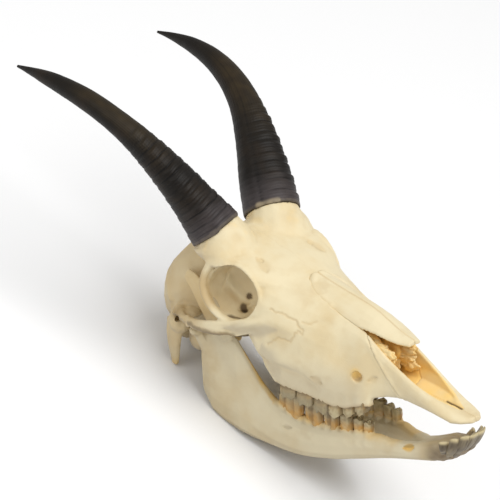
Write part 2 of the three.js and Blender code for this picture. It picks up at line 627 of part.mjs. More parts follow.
function toothRow(teeth, front, shapeAt, side) {
  let start = front;
  return teeth.flatMap(([length, lobes]) => {
    const first = start;
    start -= length;
    return range(lobes).map((k) => {
      const x = first - (length * (k + 0.5)) / lobes;
      return toothLobe({ x, length: length / lobes, ...shapeAt(x) }, side);
    });
  });
}

const gumKnots = (axis) => FACE_SECTIONS.slice(6).map((section) => [section.x, section.corners[GUM_CORNER][axis]]);
const [upperGumOut, upperGum] = [smooth(gumKnots(0)), smooth(gumKnots(1))];
const biteLine = smooth(BITE_LINE);
const [jawInner, jawOuter, jawBottom, jawTop] = ["inner", "outer", "bottom", "top"]
  .map((name) => valueAlong(JAW_SECTIONS, name));

const upperTooth = (x) => ({
  out: upperGumOut(x) - UPPER_TOOTH_WIDTH / 2,
  width: UPPER_TOOTH_WIDTH * (x > UPPER_ROW_FRONT - UPPER_PREMOLAR.length ? UPPER_PREMOLAR.narrowing : 1),
  root: upperGum(x) + TOOTH_ROOT,
  gum: upperGum(x),
  crown: biteLine(x) + BITE_CLEARANCE.upper,
  slope: BITE_SLOPE.upper,
});

const lowerTooth = (x) => ({
  out: jawInner(x) + LOWER_TOOTH_WIDTH / 2 + LOWER_TOOTH_INSET,
  width: LOWER_TOOTH_WIDTH,
  root: jawTop(x) - TOOTH_ROOT,
  gum: jawTop(x) - LOWER_GUM_SINK,
  crown: biteLine(x) + BITE_CLEARANCE.lower,
  slope: BITE_SLOPE.lower,
});

function incisor({ foot, tip, width }, side) {
  const [start, end] = [place(foot, side), place(tip, side)];
  const ahead = end.clone().sub(start).normalize();
  const across = new THREE.Vector3(-INCISOR_FAN * (foot[1] - INCISORS[0].foot[1]), side, 0);
  across.addScaledVector(ahead, -across.dot(ahead)).normalize();
  const raised = new THREE.Vector3().crossVectors(ahead, across);
  const ringAt = (t, wide, thick) => range(INCISOR_SIDES).map((j) => start.clone().lerp(end, t)
    .addScaledVector(across, (width / 2) * wide * Math.cos(turnAt(j, INCISOR_SIDES)))
    .addScaledVector(raised, (INCISOR_THICKNESS / 2) * thick * Math.sin(turnAt(j, INCISOR_SIDES))));
  return loft([ringAt(-0.3, 0.6, 1), ringAt(0.25, 0.75, 1.1), ringAt(0.7, 1, 0.9), ringAt(1, 0.9, 0.35)]);
}

function lowerJaw(side) {
  const ringAt = (x) => blockRing(
    { x, inner: jawInner(x), outer: jawOuter(x), bottom: jawBottom(x), top: jawTop(x) },
    side, JAW_SIDES, JAW_SQUARENESS,
  );
  const whole = join([
    loft(stationsOf(JAW_SECTIONS, JAW_STEPS).map(ringAt)),
    bar(CORONOID_BLADE, side, { steps: 7, sides: 6, up: [1, 0, 0.6] }),
    bar(CONDYLE_NECK, side, { steps: 4, sides: 8, up: [1, 0, 0] }),
    lump(JAW_CONDYLE, side),
    ...toothRow(LOWER_TEETH, LOWER_ROW_FRONT, lowerTooth, side),
    ...INCISORS.map((tooth) => incisor(tooth, side)),
  ]);
  return largest(cut(whole, [halfSpace(-side, -GAP / 2)]));
}

// Snout with its cavity and the seats of the nasal bones, parted into nose-tip bones and upper jaw.
const sides = Object.values(SIDES);
const snout = cut(solid(faceBody()), [nasalCavity(), ...sides.map(nasalSeat)]);

function premaxilla(side) {
  const front = snout.intersect(solid(partingBlock(GAP / 2)));
  return largest(cut(front, [halfSpace(-side, -GAP / 2)]));
}

function cranium() {
  const upperJaw = snout.subtract(solid(partingBlock(-GAP / 2)));
  const vault = join([
    braincase(),
    forehead(),
    ...sides.flatMap((side) => [orbitLump(ORBIT_WALL, side), pedicle(side)]),
  ]);
  const socketed = cut(upperJaw.add(vault), sides.map((side) => orbitLump(ORBIT_HOLLOW, side)));
  const added = join([
    bar(OCCIPUT, 1, { steps: 7, sides: 8 }),
    bar(BASE_BEAM, 1, { steps: 5, sides: 10 }),
    bar(SEPTUM, 1, { steps: 4, sides: 8 }),
    ...sides.flatMap((side) => [
      orbitRim(side),
      ...skullBase(side),
      ...TURBINATES.map((scroll) => turbinate(scroll, side)),
      ...toothRow(UPPER_TEETH, UPPER_ROW_FRONT, upperTooth, side),
    ]),
  ]);
  const holes = [CHEEK_HOLE, BROW_HOLE, EAR_HOLE];
  return largest(cut(socketed.add(added), [
    bore(SPINE_HOLE, 1),
    ...sides.flatMap((side) => [nasalSeat(side), ...holes.map((hole) => bore(hole, side))]),
  ]));
}

// Rest: nose up on the angles of the jaw and the two processes behind them.
function lowest(whole, pitch) {
  const { vertProperties } = whole.getMesh();
  const heights = range(vertProperties.length / 3).map((i) => (
    vertProperties[3 * i] * Math.sin(pitch) + vertProperties[3 * i + 2] * Math.cos(pitch)
  ));
  return heights.reduce((low, height) => Math.min(low, height));
}

function restPitch(jaw, skull) {
  let [flat, steep] = [0.2, 1];
  for (let i = 0; i < 40; i++) {
    const pitch = (flat + steep) / 2;
    if (lowest(jaw, pitch) < lowest(skull, pitch)) flat = pitch;
    else steep = pitch;
  }
  return (flat + steep) / 2;
}

function mesh(name, whole, look) {
  const { vertProperties, triVerts } = whole.getMesh();
  const geometry = new THREE.BufferGeometry();
  geometry.setAttribute("position", new THREE.BufferAttribute(vertProperties, 3));
  geometry.setIndex(new THREE.BufferAttribute(triVerts, 1));
  geometry.computeVertexNormals();
  const result = new THREE.Mesh(geometry, new THREE.MeshStandardMaterial(look));
  result.name = name;
  return result;
}

const craniumSolid = cranium();
const pitch = restPitch(lowerJaw(SIDES.right), craniumSolid);
const floorLevel = lowest(craniumSolid, pitch) + FLOOR_FLAT;
const belowFloor = new THREE.BoxGeometry(BLOCK_SIZE, BLOCK_SIZE, BLOCK_SIZE)
  .translate(0, 0, floorLevel - BLOCK_SIZE / 2)
  .rotateY(pitch);

const skull = new THREE.Group();
skull.add(mesh("cranium", largest(cut(craniumSolid, [belowFloor])), LOOKS.bone));
for (const [name, side] of Object.entries(SIDES)) {
  skull.add(mesh(`nasal_${name}`, solid(nasalBone(side)), LOOKS.bone));
  skull.add(mesh(`premaxilla_${name}`, premaxilla(side), LOOKS.bone));
  skull.add(mesh(`horn_${name}`, horn(side), LOOKS.horn));
  skull.add(mesh(`mandible_${name}`, largest(cut(lowerJaw(side), [belowFloor])), LOOKS.jaw));
}
skull.rotation.y = -pitch;

// Origin on the floor under the middle of the whole.
const group = new THREE.Group();
group.add(skull);
group.updateMatrixWorld(true);
const box = new THREE.Box3().setFromObject(group, true);
const middle = box.getCenter(new THREE.Vector3());
skull.position.set(-middle.x, -middle.y, -box.min.z);

export default group;
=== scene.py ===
"""Finish of a life-size mountain goat skull: bones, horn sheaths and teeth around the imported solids.

Shapes are given in the skull's own frame in millimetres: x runs forward to the nose, y to the
animal's left and z up. A paired form gives its distance out from the midline as a positive number.
The skull lies nose up on the floor, so `to_world` turns and lifts that frame into metres.
"""

from __future__ import annotations

import itertools
import logging
import math
from collections.abc import Callable, Sequence
from dataclasses import dataclass, field
from enum import Enum
from functools import partial

import bpy
import numpy as np
from mathutils import Matrix, Vector
from mathutils.bvhtree import BVHTree

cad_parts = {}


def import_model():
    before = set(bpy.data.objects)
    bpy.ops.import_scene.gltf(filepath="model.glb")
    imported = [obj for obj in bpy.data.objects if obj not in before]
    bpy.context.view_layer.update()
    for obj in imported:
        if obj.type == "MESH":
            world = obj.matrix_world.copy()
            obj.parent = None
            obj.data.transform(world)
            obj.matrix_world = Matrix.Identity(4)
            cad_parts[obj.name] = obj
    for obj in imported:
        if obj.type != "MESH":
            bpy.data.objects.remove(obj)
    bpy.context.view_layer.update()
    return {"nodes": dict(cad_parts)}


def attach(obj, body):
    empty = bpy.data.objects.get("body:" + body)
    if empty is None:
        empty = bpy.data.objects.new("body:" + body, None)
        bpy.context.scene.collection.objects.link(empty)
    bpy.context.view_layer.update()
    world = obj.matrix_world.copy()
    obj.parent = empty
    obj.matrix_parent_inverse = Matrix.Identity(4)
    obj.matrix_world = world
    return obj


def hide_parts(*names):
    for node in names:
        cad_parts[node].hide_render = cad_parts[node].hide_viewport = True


LOG = logging.getLogger("goat_skull")

Array = np.ndarray
Piece = bpy.types.Object
Socket = bpy.types.NodeSocket
Tree = bpy.types.NodeTree
Point = tuple[float, float, float]
Colour = tuple[float, float, float]
Knots = Sequence[tuple[float, float]]
Path = tuple[Point, ...]

MM = 0.001
REST_PITCH = math.radians(30.44582)
REST_SHIFT = np.array([212.715, 0.0, 128.8656])
SKULL_UP = np.array([math.sin(REST_PITCH), 0.0, math.cos(REST_PITCH)])
# The stain layer holds real stains, painted shade and a painted sheen.
STAIN_AND_PAINTED_LIGHT_LAYER = "stain"
STREAK = np.array([0.4, 2.2, 0.4])
HASH_PRIMES = np.array([73856093, 19349663, 83492791])
HASH_SPREAD = 2654435761
SEED_STEP = 17.31
WELD = 1e-6


class Side(Enum):
    """A half of the skull, with the sign of its y."""

    RIGHT = -1
    LEFT = 1

    @property
    def label(self) -> str:
        """The half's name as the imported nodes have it."""
        return self.name.lower()


class Stain(Enum):
    """A channel of the stain layer, which holds discoloration, painted shade and a painted sheen."""

    TAN = 0
    ORANGE = 1
    GREY = 2
    DARK = 3


class ToothKind(Enum):
    """The jaw that a cheek tooth grows from, with the way its crown points."""

    UPPER = -1
    LOWER = 1


def to_world(points: Array) -> Array:
    """Place skull points on the floor.

    Args:
        points: Points in skull millimetres, one per row.

    Returns:
        The same points in metres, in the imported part's frame.
    """
    cos, sin = math.cos(REST_PITCH), math.sin(REST_PITCH)
    x, y, z = np.moveaxis(np.asarray(points, float), -1, 0)
    return (np.stack([x * cos - z * sin, y, x * sin + z * cos], axis=-1) + REST_SHIFT) * MM


def to_skull(points: Array) -> Array:
    """Bring placed points back into the skull's own frame.

    Args:
        points: Points in metres, one per row.

    Returns:
        The same points in skull millimetres.
    """
    cos, sin = math.cos(REST_PITCH), math.sin(REST_PITCH)
    x, y, z = np.moveaxis(np.asarray(points, float) / MM - REST_SHIFT, -1, 0)
    return np.stack([x * cos + z * sin, y, z * cos - x * sin], axis=-1)


def on_side(path: Sequence[Point], side: Side) -> Array:
    """Give a paired path its side.

    Args:
        path: Points as (x, out, z).
        side: The half to place it on.

    Returns:
        The path's points in the skull frame.
    """
    return np.array(path, float).reshape(-1, 3) * np.array([1.0, side.value, 1.0])


def blend_step(low: float, high: float, value: Array) -> Array:
    """A smooth step from 0 at low to 1 at high."""
    t = np.clip((value - low) / (high - low), 0.0, 1.0)
    return t * t * (3.0 - 2.0 * t)


def grain(points: Array, size: float, seed: int) -> Array:
    """Smooth repeatable noise.

    Args:
        points: Points in skull millimetres.
        size: Width of one swell in millimetres.
        seed: A whole number that picks the pattern.

    Returns:
        A value from -1 to 1 for each point.
    """
    spot = points / size + seed * SEED_STEP
    cell = np.floor(spot).astype(np.int64)
    part = spot - cell
    part = part * part * (3.0 - 2.0 * part)
    total = np.zeros(len(points))
    for corner in itertools.product((0, 1), repeat=3):
        code = np.bitwise_xor.reduce((cell + np.array(corner)) * HASH_PRIMES, axis=1)
        value = ((code * HASH_SPREAD) & 0xFFFFFF) / 0x7FFFFF - 1.0
        total += value * np.prod(np.where(np.array(corner) == 1, part, 1.0 - part), axis=1)
    return total


def jitter(points: Array, size: float, seed: int) -> Array:
    """Give a smooth random shift for each point, from three patterns in a row."""
    return np.stack([grain(points, size, seed + axis) for axis in range(3)], axis=-1)


def squared_off(value: Array, power: float) -> Array:
    """Raise to a power and keep the sign, which makes a round section boxier."""
    return np.sign(value) * np.abs(value) ** power


def wander(path: Array, step: float = 1.2, sway: float = 0.9) -> Array:
    """Resample a path in short steps that wander, as a suture does.

    Args:
        path: The path's points in skull millimetres.
        step: Length of one step.
        sway: The farthest that a step strays from the path.

    Returns:
        The wandering path.
    """
    ends = np.concatenate([[0.0], np.cumsum(np.linalg.norm(np.diff(path, axis=0), axis=1))])
    at = np.arange(0.0, ends[-1], step)
    line = np.stack([np.interp(at, ends, path[:, axis]) for axis in range(3)], axis=1)
    return line + sway * jitter(line, 2.5, 71)


class Profile:
    """A smooth value through knots, without overshoot and level past both ends."""

    def __init__(self, knots: Knots) -> None:
        """Keep the knots in rising order of place, with a gentle slope at each.

        Args:
            knots: Pairs of place and value.
        """
        rows = np.array(sorted(knots), float)
        self.at, self.value = rows[:, 0], rows[:, 1]
        rise = np.diff(self.value) / np.diff(self.at)
        slope = np.empty(len(rows))
        slope[0], slope[-1] = rise[0], rise[-1]
        for i in range(1, len(rows) - 1):
            product = rise[i - 1] * rise[i]
            slope[i] = 0.0 if product <= 0 else 2.0 * product / (rise[i - 1] + rise[i])
        self.slope = slope

    def __call__(self, place: Array | float) -> Array:
        """Give the value at one or more places.

        Args:
            place: The places.

        Returns:
            The values there.
        """
        spot = np.clip(place, self.at[0], self.at[-1])
        i = np.clip(np.searchsorted(self.at, spot, side="right") - 1, 0, len(self.at) - 2)
        h = self.at[i + 1] - self.at[i]
        t = (spot - self.at[i]) / h
        ease = t * t * (3.0 - 2.0 * t)
        bend = h * (self.slope[i] * t * (1 - t) ** 2 - self.slope[i + 1] * t * t * (1 - t))
        return self.value[i] + (self.value[i + 1] - self.value[i]) * ease + bend


def only(piece: Piece) -> None:
    """Select one piece and nothing else, and make it active.

    Args:
        piece: The piece to select.
    """
    bpy.ops.object.select_all(action="DESELECT")
    piece.select_set(True)
    bpy.context.view_layer.objects.active = piece


def apply_modifier(piece: Piece, kind: str, **settings: object) -> None:
    """Add a modifier to a piece and apply it.

    Args:
        piece: The piece to change.
        kind: The modifier's type.
        **settings: Values for the modifier's own properties.
    """
    only(piece)
    bpy.ops.object.modifier_add(type=kind)
    modifier = piece.modifiers[-1]
    for name, value in settings.items():
        setattr(modifier, name, value)
    bpy.ops.object.modifier_apply(modifier=modifier.name)


def clean_mesh(piece: Piece, outward: bool = False) -> None:
    """Merge doubled points, close open loops and, if asked, turn the faces outward.

    Args:
        piece: The piece to clean.
        outward: Whether the faces are turned outward.
    """
    only(piece)
    bpy.ops.object.mode_set(mode="EDIT")
    bpy.ops.mesh.select_all(action="SELECT")
    bpy.ops.mesh.remove_doubles(threshold=WELD)
    bpy.ops.mesh.fill_holes(sides=0)
    if outward:
        bpy.ops.mesh.select_all(action="SELECT")
        bpy.ops.mesh.normals_make_consistent(inside=False)
    bpy.ops.object.mode_set(mode="OBJECT")


def read_rows(items: bpy.types.bpy_prop_collection, name: str, kind: type, width: int) -> Array:
    """Read a property of a mesh's items, one item per row.

    Args:
        items: The items.
        name: The property.
        kind: The type of its numbers.
        width: How many numbers an item has.

    Returns:
        The numbers.
    """
    flat = np.empty(len(items) * width, kind)
    items.foreach_get(name, flat)
    return flat.reshape(-1, width)


def wrap_grid(name: str, around: int, along: int, place: Callable[[Array, Array], Array]) -> Piece:
    """Roll a flat grid into a closed skin.

    Args:
        name: The piece's name.
        around: Faces round the skin.
        along: Faces from one end to the other.
        place: Gives skull points for the turn (0 to 1) and the way along (0 to 1).

    Returns:
        The new piece, its seam and ends closed.
    """
    bpy.ops.mesh.primitive_grid_add(x_subdivisions=around, y_subdivisions=along, size=1.0)
    piece = bpy.context.active_object
    piece.name = piece.data.name = name
    flat = read_rows(piece.data.vertices, "co", float, 3) + 0.5
    turn = np.where(flat[:, 0] > 1.0 - 1e-5, 0.0, flat[:, 0])
    points = to_world(place(turn, np.clip(flat[:, 1], 0.0, 1.0)))
    piece.data.vertices.foreach_set("co", points.astype(np.float32).ravel())
    piece.data.update()
    clean_mesh(piece, outward=True)
    return piece


class Clay:
    """A fine skin in skull millimetres, with the tools that shape it and lay its stains and painted light.

    Paths are given only near the skin, so a path point moves to the skin if that is within `slack`
    millimetres.
    A mark with the taper `pointed` is a quarter as wide at its ends as in its middle. A soft mask is
    whole within the share `core` of its radius, and relief is left out past `spread` widths from its
    path or where its weight is under `faint`.
    """

    slack = 7.0
    pointed = 0.75
    core = 0.25
    spread = 3.0
    faint = 0.01

    def __init__(self, piece: Piece) -> None:
        """Read a piece's points and how they join.

        Args:
            piece: The piece to work on.
        """
        self.piece = piece
        mesh = piece.data
        self.points = to_skull(read_rows(mesh.vertices, "co", float, 3))
        self.edges = read_rows(mesh.edges, "vertices", np.int64, 2)
        mesh.calc_loop_triangles()
        self.faces = read_rows(mesh.loop_triangles, "vertices", np.int64, 3)
        self.count = len(self.points)
        self.joins = np.maximum(np.bincount(self.edges.ravel(), minlength=self.count), 1)
        self.stains = np.zeros((self.count, len(Stain)))
        self.normals = np.zeros_like(self.points)
        self.face_out()

    def face_out(self) -> None:
        """Work out which way each point faces."""
        a, b, c = (self.points[self.faces[:, k]] for k in range(3))
        facing = np.cross(b - a, c - a)
        total = np.zeros_like(self.points)
        for k, axis in itertools.product(range(3), range(3)):
            total[:, axis] += np.bincount(self.faces[:, k], facing[:, axis], self.count)
        self.normals = total / np.maximum(np.linalg.norm(total, axis=1, keepdims=True), 1e-12)

    def neighbours(self, values: Array, rounds: int = 1) -> Array:
        """Give the mean of the neighbours' values at each point, taken once or more.

        Args:
            values: A value or a row of values for each point.
            rounds: How often the mean is taken.

        Returns:
            The means.
        """
        a, b = self.edges.T
        for _ in range(rounds):
            mean = np.stack([
                (np.bincount(a, column[b], self.count) + np.bincount(b, column[a], self.count)) / self.joins
                for column in values.reshape(self.count, -1).T
            ], axis=1)
            values = mean.reshape(values.shape)
        return values

    def relax(self, weight: Array, rounds: int, steps: tuple[float, ...] = (0.55, -0.57)) -> None:
        """Even out the skin. The usual steps, in and then out, keep it from shrinking.

        Args:
            weight: How much each point may move, 0 to 1.
            rounds: How many passes are made.
            steps: Share of the way to its neighbours that a point moves, for each step of a pass.
        """
        for step in steps * rounds:
            self.points += step * weight[:, None] * (self.neighbours(self.points) - self.points)
        self.face_out()

    def melt(self, weight: Array, rounds: int) -> None:
        """Draw the skin taut, so that creases become fillets."""
        self.relax(weight, rounds, (0.5,))

    def thickness(self, limit: float) -> Array:
        """Measure how deep the bone is under each point.

        Args:
            limit: The depth past which the bone counts as thick, in millimetres.

        Returns:
            The depth under each point, at most the limit.
        """
        tree = BVHTree.FromPolygons(self.points.tolist(), self.faces.tolist())
        depth = np.full(self.count, limit)
        skip = 0.05
        for i, (spot, way) in enumerate(zip(self.points - skip * self.normals, -self.normals)):
            found = tree.ray_cast(spot, way, limit)
            if found[3] is not None:
                depth[i] = found[3]
        return depth

    def settle(self, path: Array, spots: Array) -> Array:
        """Lay a path on the skin.

        Args:
            path: The path's points, given only near the skin.
            spots: The skin's points about there.

        Returns:
            The path, each point on the skin if the skin is near enough.
        """
        gaps = np.stack([np.linalg.norm(spots - point, axis=1) for point in path])
        found = gaps.argmin(axis=1)
        return np.where(gaps.min(axis=1, keepdims=True) < self.slack, spots[found], path)

    def distance(self, path: Array, reach: float, taper: float = 0.0) -> tuple[Array, Array]:
        """Find the points near a path.

        Args:
            path: The path's points, one or more.
            reach: How far from the path to look.
            taper: The share by which the reach narrows towards both ends.

        Returns:
            The indices of the near points, and their distances as if the reach didn't narrow.
        """
        low, high = path.min(0) - reach - self.slack, path.max(0) + reach + self.slack
        near = np.flatnonzero(np.all((self.points > low) & (self.points < high), axis=1))
        spots = self.points[near]
        if len(near) == 0:
            return near, np.zeros(0)
        path = self.settle(path, spots)
        best = np.linalg.norm(spots - path[0], axis=1) / (1.0 - taper)
        for i, (a, b) in enumerate(zip(path[:-1], path[1:])):
            run = b - a
            t = np.clip((spots - a) @ run / max(float(run @ run), 1e-9), 0.0, 1.0)
            slim = 1.0 - taper * (2.0 * (i + t) / (len(path) - 1) - 1.0) ** 2
            best = np.minimum(best, np.linalg.norm(spots - a - t[:, None] * run, axis=1) / slim)
        close = best < reach
        return near[close], best[close]

    def raise_along(self, path: Array, width: float, height: float, taper: float = 0.0) -> None:
        """Raise a rounded ridge along a path, or cut a groove where the height is negative.

        Args:
            path: The path's points.
            width: Distance from the path at which the ridge has mostly faded.
            height: Height of the ridge, or minus the depth of the groove.
            taper: The share by which it narrows towards both ends.
        """
        near, far = self.distance(path, self.spread * width, taper)
        self.points[near] += self.normals[near] * (height * np.exp(-((far / width) ** 2)))[:, None]

    def fill(self, mouth: Array, foot: Array, radius: float, depth: float) -> None:
        """Make a bored hole shallow, with a rounded floor.

        Args:
            mouth: A point on the hole's axis outside the bone.
            foot: The point on the axis at the hole's inner end.
            radius: The hole's radius.
            depth: How deep the floor lies under the rim.
        """
        way = (mouth - foot) / np.linalg.norm(mouth - foot)
        rise = (self.points - foot) @ way
        off = np.linalg.norm(self.points - foot - rise[:, None] * way, axis=1)
        along = (rise > -1.5 * radius) & (rise < np.linalg.norm(mouth - foot) + radius)
        rim_start, rim_end, bowl, rim_rank = 1.2 * radius, 1.7 * radius, 1.3 * radius, 60
        rim = np.percentile(rise[along & (off > rim_start) & (off < rim_end)], rim_rank)
        floor = rim - depth * np.sqrt(np.clip(1.0 - (off / bowl) ** 2, 0.0, 1.0))
        sunk = along & (off < bowl) & (rise < floor)
        self.points[sunk] += (floor - rise)[sunk, None] * way
        self.face_out()

    def inflate(self, height: float) -> None:
        """Move the whole skin outward by a height in millimetres."""
        self.points += height * self.normals

    def roughen(self, weight: Array, size: float, height: float, seed: int) -> None:
        """Add uneven relief to a region.

        Args:
            weight: Share of the relief at each point.
            size: Width of one swell.
            height: Height of the swells.
            seed: A whole number that picks the pattern.
        """
        near = np.flatnonzero(weight > self.faint)
        swell = grain(self.points[near], size, seed) * weight[near] * height
        self.points[near] += self.normals[near] * swell[:, None]

    def around(self, path: Array, radius: float, taper: float = 0.0) -> Array:
        """Give a soft mask that is 1 on a path and fades to 0 at the radius.

        Args:
            path: The path's points.
            radius: Where the mask ends.
            taper: The share by which it narrows towards both ends.

        Returns:
            The mask.
        """
        mask = np.zeros(self.count)
        near, far = self.distance(path, radius, taper)
        mask[near] = 1.0 - blend_step(self.core * radius, radius, far)
        return mask

    def stain(self, kind: Stain, mask: Array) -> None:
        """Lay a mark in the stain layer where a mask says, without thinning what is there; the marks are
        stains, painted shade and painted sheen.
        """
        channel = self.stains[:, kind.value]
        np.maximum(channel, np.clip(mask, 0.0, 1.0), out=channel)

    def tint(self, kind: Stain, path: Array, radius: float, share: Array | float,
             taper: float = 0.0) -> None:
        """Lay a share of a mark, a stain or painted shade, along a path, fading to nothing at the radius."""
        self.stain(kind, share * self.around(path, radius, taper))

    def patches(self, size: float, seed: int, stretch: Array | float = 1.0) -> Array:
        """Give smooth noise from 0 to 1 on the skin, finer along an axis with a large stretch."""
        return 0.5 + 0.5 * grain(self.points * stretch, size, seed)

    def hollows(self, rounds: int, scale: float) -> Array:
        """Give a mask of the places where the skin bends inward.

        Args:
            rounds: How widely the bend is averaged.
            scale: The bend in millimetres that counts as full.

        Returns:
            A mask from 0 to 1.
        """
        bend = np.sum((self.neighbours(self.points) - self.points) * self.normals, axis=1)
        return np.clip(self.neighbours(bend, rounds) / scale, 0.0, 1.0)

    def write(self) -> None:
        """Put the shape, and the stains with their painted shade and sheen, back into the piece."""
        mesh = self.piece.data
        mesh.vertices.foreach_set("co", to_world(self.points).astype(np.float32).ravel())
        layer = mesh.color_attributes.get(STAIN_AND_PAINTED_LIGHT_LAYER)
        if layer is None:
            layer = mesh.color_attributes.new(STAIN_AND_PAINTED_LIGHT_LAYER, "FLOAT_COLOR", "POINT")
        layer.data.foreach_set("color", self.stains.astype(np.float32).ravel())
        mesh.polygons.foreach_set("use_smooth", np.ones(len(mesh.polygons), bool))
        mesh.update()


class NodeBench:
    """A material's node tree, with short ways to add and join nodes."""

    bump_strength = 0.6

    def __init__(self, name: str) -> None:
        """Start a new material with an empty tree.

        Args:
            name: The material's name.
        """
        self.material = bpy.data.materials.new(name)
        self.material.use_nodes = True
        self.tree = self.material.node_tree
        self.tree.nodes.clear()
        self.object_space = self.add("ShaderNodeTexCoord").outputs["Object"]

    def add(self, kind: str, **settings: object) -> bpy.types.Node:
        """Add a node and set its own properties.

        Args:
            kind: The node's type.
            **settings: Values for the node's properties.

        Returns:
            The new node.
        """
        node = self.tree.nodes.new(kind)
        for name, value in settings.items():
            setattr(node, name, value)
        return node

    def join(self, source: Socket, target: Socket) -> None:
        """Join an output to an input."""
        self.tree.links.new(source, target)

    def mix(self, below: Socket | Colour, above: Socket | Colour,
            share: Socket) -> Socket:
        """Mix two colours.

        Args:
            below: Colour where the share is 0.
            above: Colour where the share is 1.
            share: The mask.

        Returns:
            The mixed colour.
        """
        node = self.add("ShaderNodeMix", data_type="RGBA")
        self.join(share, node.inputs["Factor"])
        for value, socket in ((below, node.inputs[6]), (above, node.inputs[7])):
            if isinstance(value, tuple):
                socket.default_value = (*value, 1.0)
            else:
                self.join(value, socket)
        return node.outputs[2]

    def weather(self, group: Tree, size: float, low: float, high: float) -> tuple[Socket, Socket]:
        """Place the shared weathering group.

        Args:
            group: The weathering group.
            size: Swells per metre.
            low: Noise level at which the mask starts.
            high: Noise level at which the mask is full.

        Returns:
            The mask and the raw height.
        """
        node = self.add("ShaderNodeGroup", node_tree=group)
        self.join(self.object_space, node.inputs["Vector"])
        for name, value in (("Size", size), ("Low", low), ("High", high)):
            node.inputs[name].default_value = value
        return node.outputs["Mask"], node.outputs["Height"]

    def finish(self, colour: Socket, height: Socket, roughness: float,
               gloss: float, relief: float) -> bpy.types.Material:
        """Close the tree with its shader.

        Args:
            colour: The surface colour.
            height: Fine relief.
            roughness: Roughness of the surface.
            gloss: Specular level.
            relief: Depth of the fine relief in metres.

        Returns:
            The finished material.
        """
        bump, shader = self.add("ShaderNodeBump"), self.add("ShaderNodeBsdfPrincipled")
        for node, name, value in (
            (bump, "Strength", self.bump_strength), (bump, "Distance", relief),
            (shader, "Roughness", roughness), (shader, "Specular IOR Level", gloss),
        ):
            node.inputs[name].default_value = value
        self.join(height, bump.inputs["Height"])
        self.join(colour, shader.inputs["Base Color"])
        self.join(bump.outputs["Normal"], shader.inputs["Normal"])
        out = self.add("ShaderNodeOutputMaterial")
        self.join(shader.outputs["BSDF"], out.inputs["Surface"])
        return self.material


def weathering_group() -> Tree:
    """Build the shared weathering effect: noise and a mask cut from it.

    Returns:
        The node group.
    """
    group = bpy.data.node_groups.new("weathering", "ShaderNodeTree")
    for name, kind in (("Vector", "NodeSocketVector"), ("Size", "NodeSocketFloat"),
                       ("Low", "NodeSocketFloat"), ("High", "NodeSocketFloat")):
        group.interface.new_socket(name, in_out="INPUT", socket_type=kind)
    for name in ("Mask", "Height"):
        group.interface.new_socket(name, in_out="OUTPUT", socket_type="NodeSocketFloat")
    start = group.nodes.new("NodeGroupInput")
    end = group.nodes.new("NodeGroupOutput")
    swell = group.nodes.new("ShaderNodeTexNoise")
    swell.inputs["Detail"].default_value = 4.0
    swell.inputs["Roughness"].default_value = 0.55
    level = group.nodes.new("ShaderNodeMapRange")
    level.interpolation_type = "SMOOTHSTEP"
    for source, given, target, taken in (
        (start, "Vector", swell, "Vector"), (start, "Size", swell, "Scale"), (swell, "Fac", level, "Value"),
        (start, "Low", level, "From Min"), (start, "High", level, "From Max"),
        (level, "Result", end, "Mask"), (swell, "Fac", end, "Height"),
    ):
        group.links.new(source.outputs[given], target.inputs[taken])
    return group


@dataclass(frozen=True)
class StainedFinish:
    """A weathered surface of a material slot, with stains, painted shade and painted sheen from the piece's
    stain layer.
    """

    name: str
    slot: str
    base: Colour
    cloud: Colour
    tan: Colour
    orange: Colour
    grey: Colour
    dark: Colour
    roughness: float
    gloss: float
    cloud_size: float = 30.0
    cloud_range: tuple[float, float] = (0.42, 0.68)
    grain_size: float = 900.0
    grain_range: tuple[float, float] = (0.3, 0.7)
    relief: float = 0.00025

    def build(self, group: Tree) -> bpy.types.Material:
        """Make the material.

        Args:
            group: The weathering group.

        Returns:
            The finished material.
        """
        bench = NodeBench(self.name)
        cloud, _ = bench.weather(group, self.cloud_size, *self.cloud_range)
        _, grains = bench.weather(group, self.grain_size, *self.grain_range)
        layer = bench.add("ShaderNodeAttribute", attribute_type="GEOMETRY", attribute_name=STAIN_AND_PAINTED_LIGHT_LAYER)
        split = bench.add("ShaderNodeSeparateColor")
        bench.join(layer.outputs["Color"], split.inputs["Color"])
        colour = bench.mix(self.base, self.cloud, cloud)
        for tone, channel in ((self.tan, "Red"), (self.grey, "Blue"), (self.orange, "Green")):
            colour = bench.mix(colour, tone, split.outputs[channel])
        colour = bench.mix(colour, self.dark, layer.outputs["Alpha"])
        return bench.finish(colour, grains, self.roughness, self.gloss, self.relief)


# In these finishes tan, grey and dark serve both real stains and painted shade; the horn's tan is its painted
# brown sheen.
BONE = StainedFinish(
    "dry_bone", "bone", base=(0.785, 0.68, 0.45), cloud=(0.74, 0.605, 0.36), tan=(0.55, 0.385, 0.175),
    orange=(0.92, 0.62, 0.19), grey=(0.43, 0.375, 0.285), dark=(0.07, 0.04, 0.02), roughness=0.58, gloss=0.3,
)
JAW_BONE = StainedFinish(
    "jaw_bone", "jaw_bone", base=(0.69, 0.605, 0.415), cloud=(0.645, 0.535, 0.335), tan=(0.48, 0.34, 0.155),
    orange=(0.78, 0.49, 0.12), grey=(0.31, 0.25, 0.17), dark=(0.06, 0.035, 0.02), roughness=0.55, gloss=0.3,
)
KERATIN = StainedFinish(
    "horn_keratin", "horn", base=(0.008, 0.006, 0.004), cloud=(0.017, 0.011, 0.006),
    tan=(0.043, 0.029, 0.012), orange=(0.48, 0.39, 0.25), grey=(0.080, 0.067, 0.068),
    dark=(0.002, 0.0015, 0.001), roughness=0.48, gloss=0.2, cloud_size=40.0, grain_size=700.0, relief=0.0002,
)
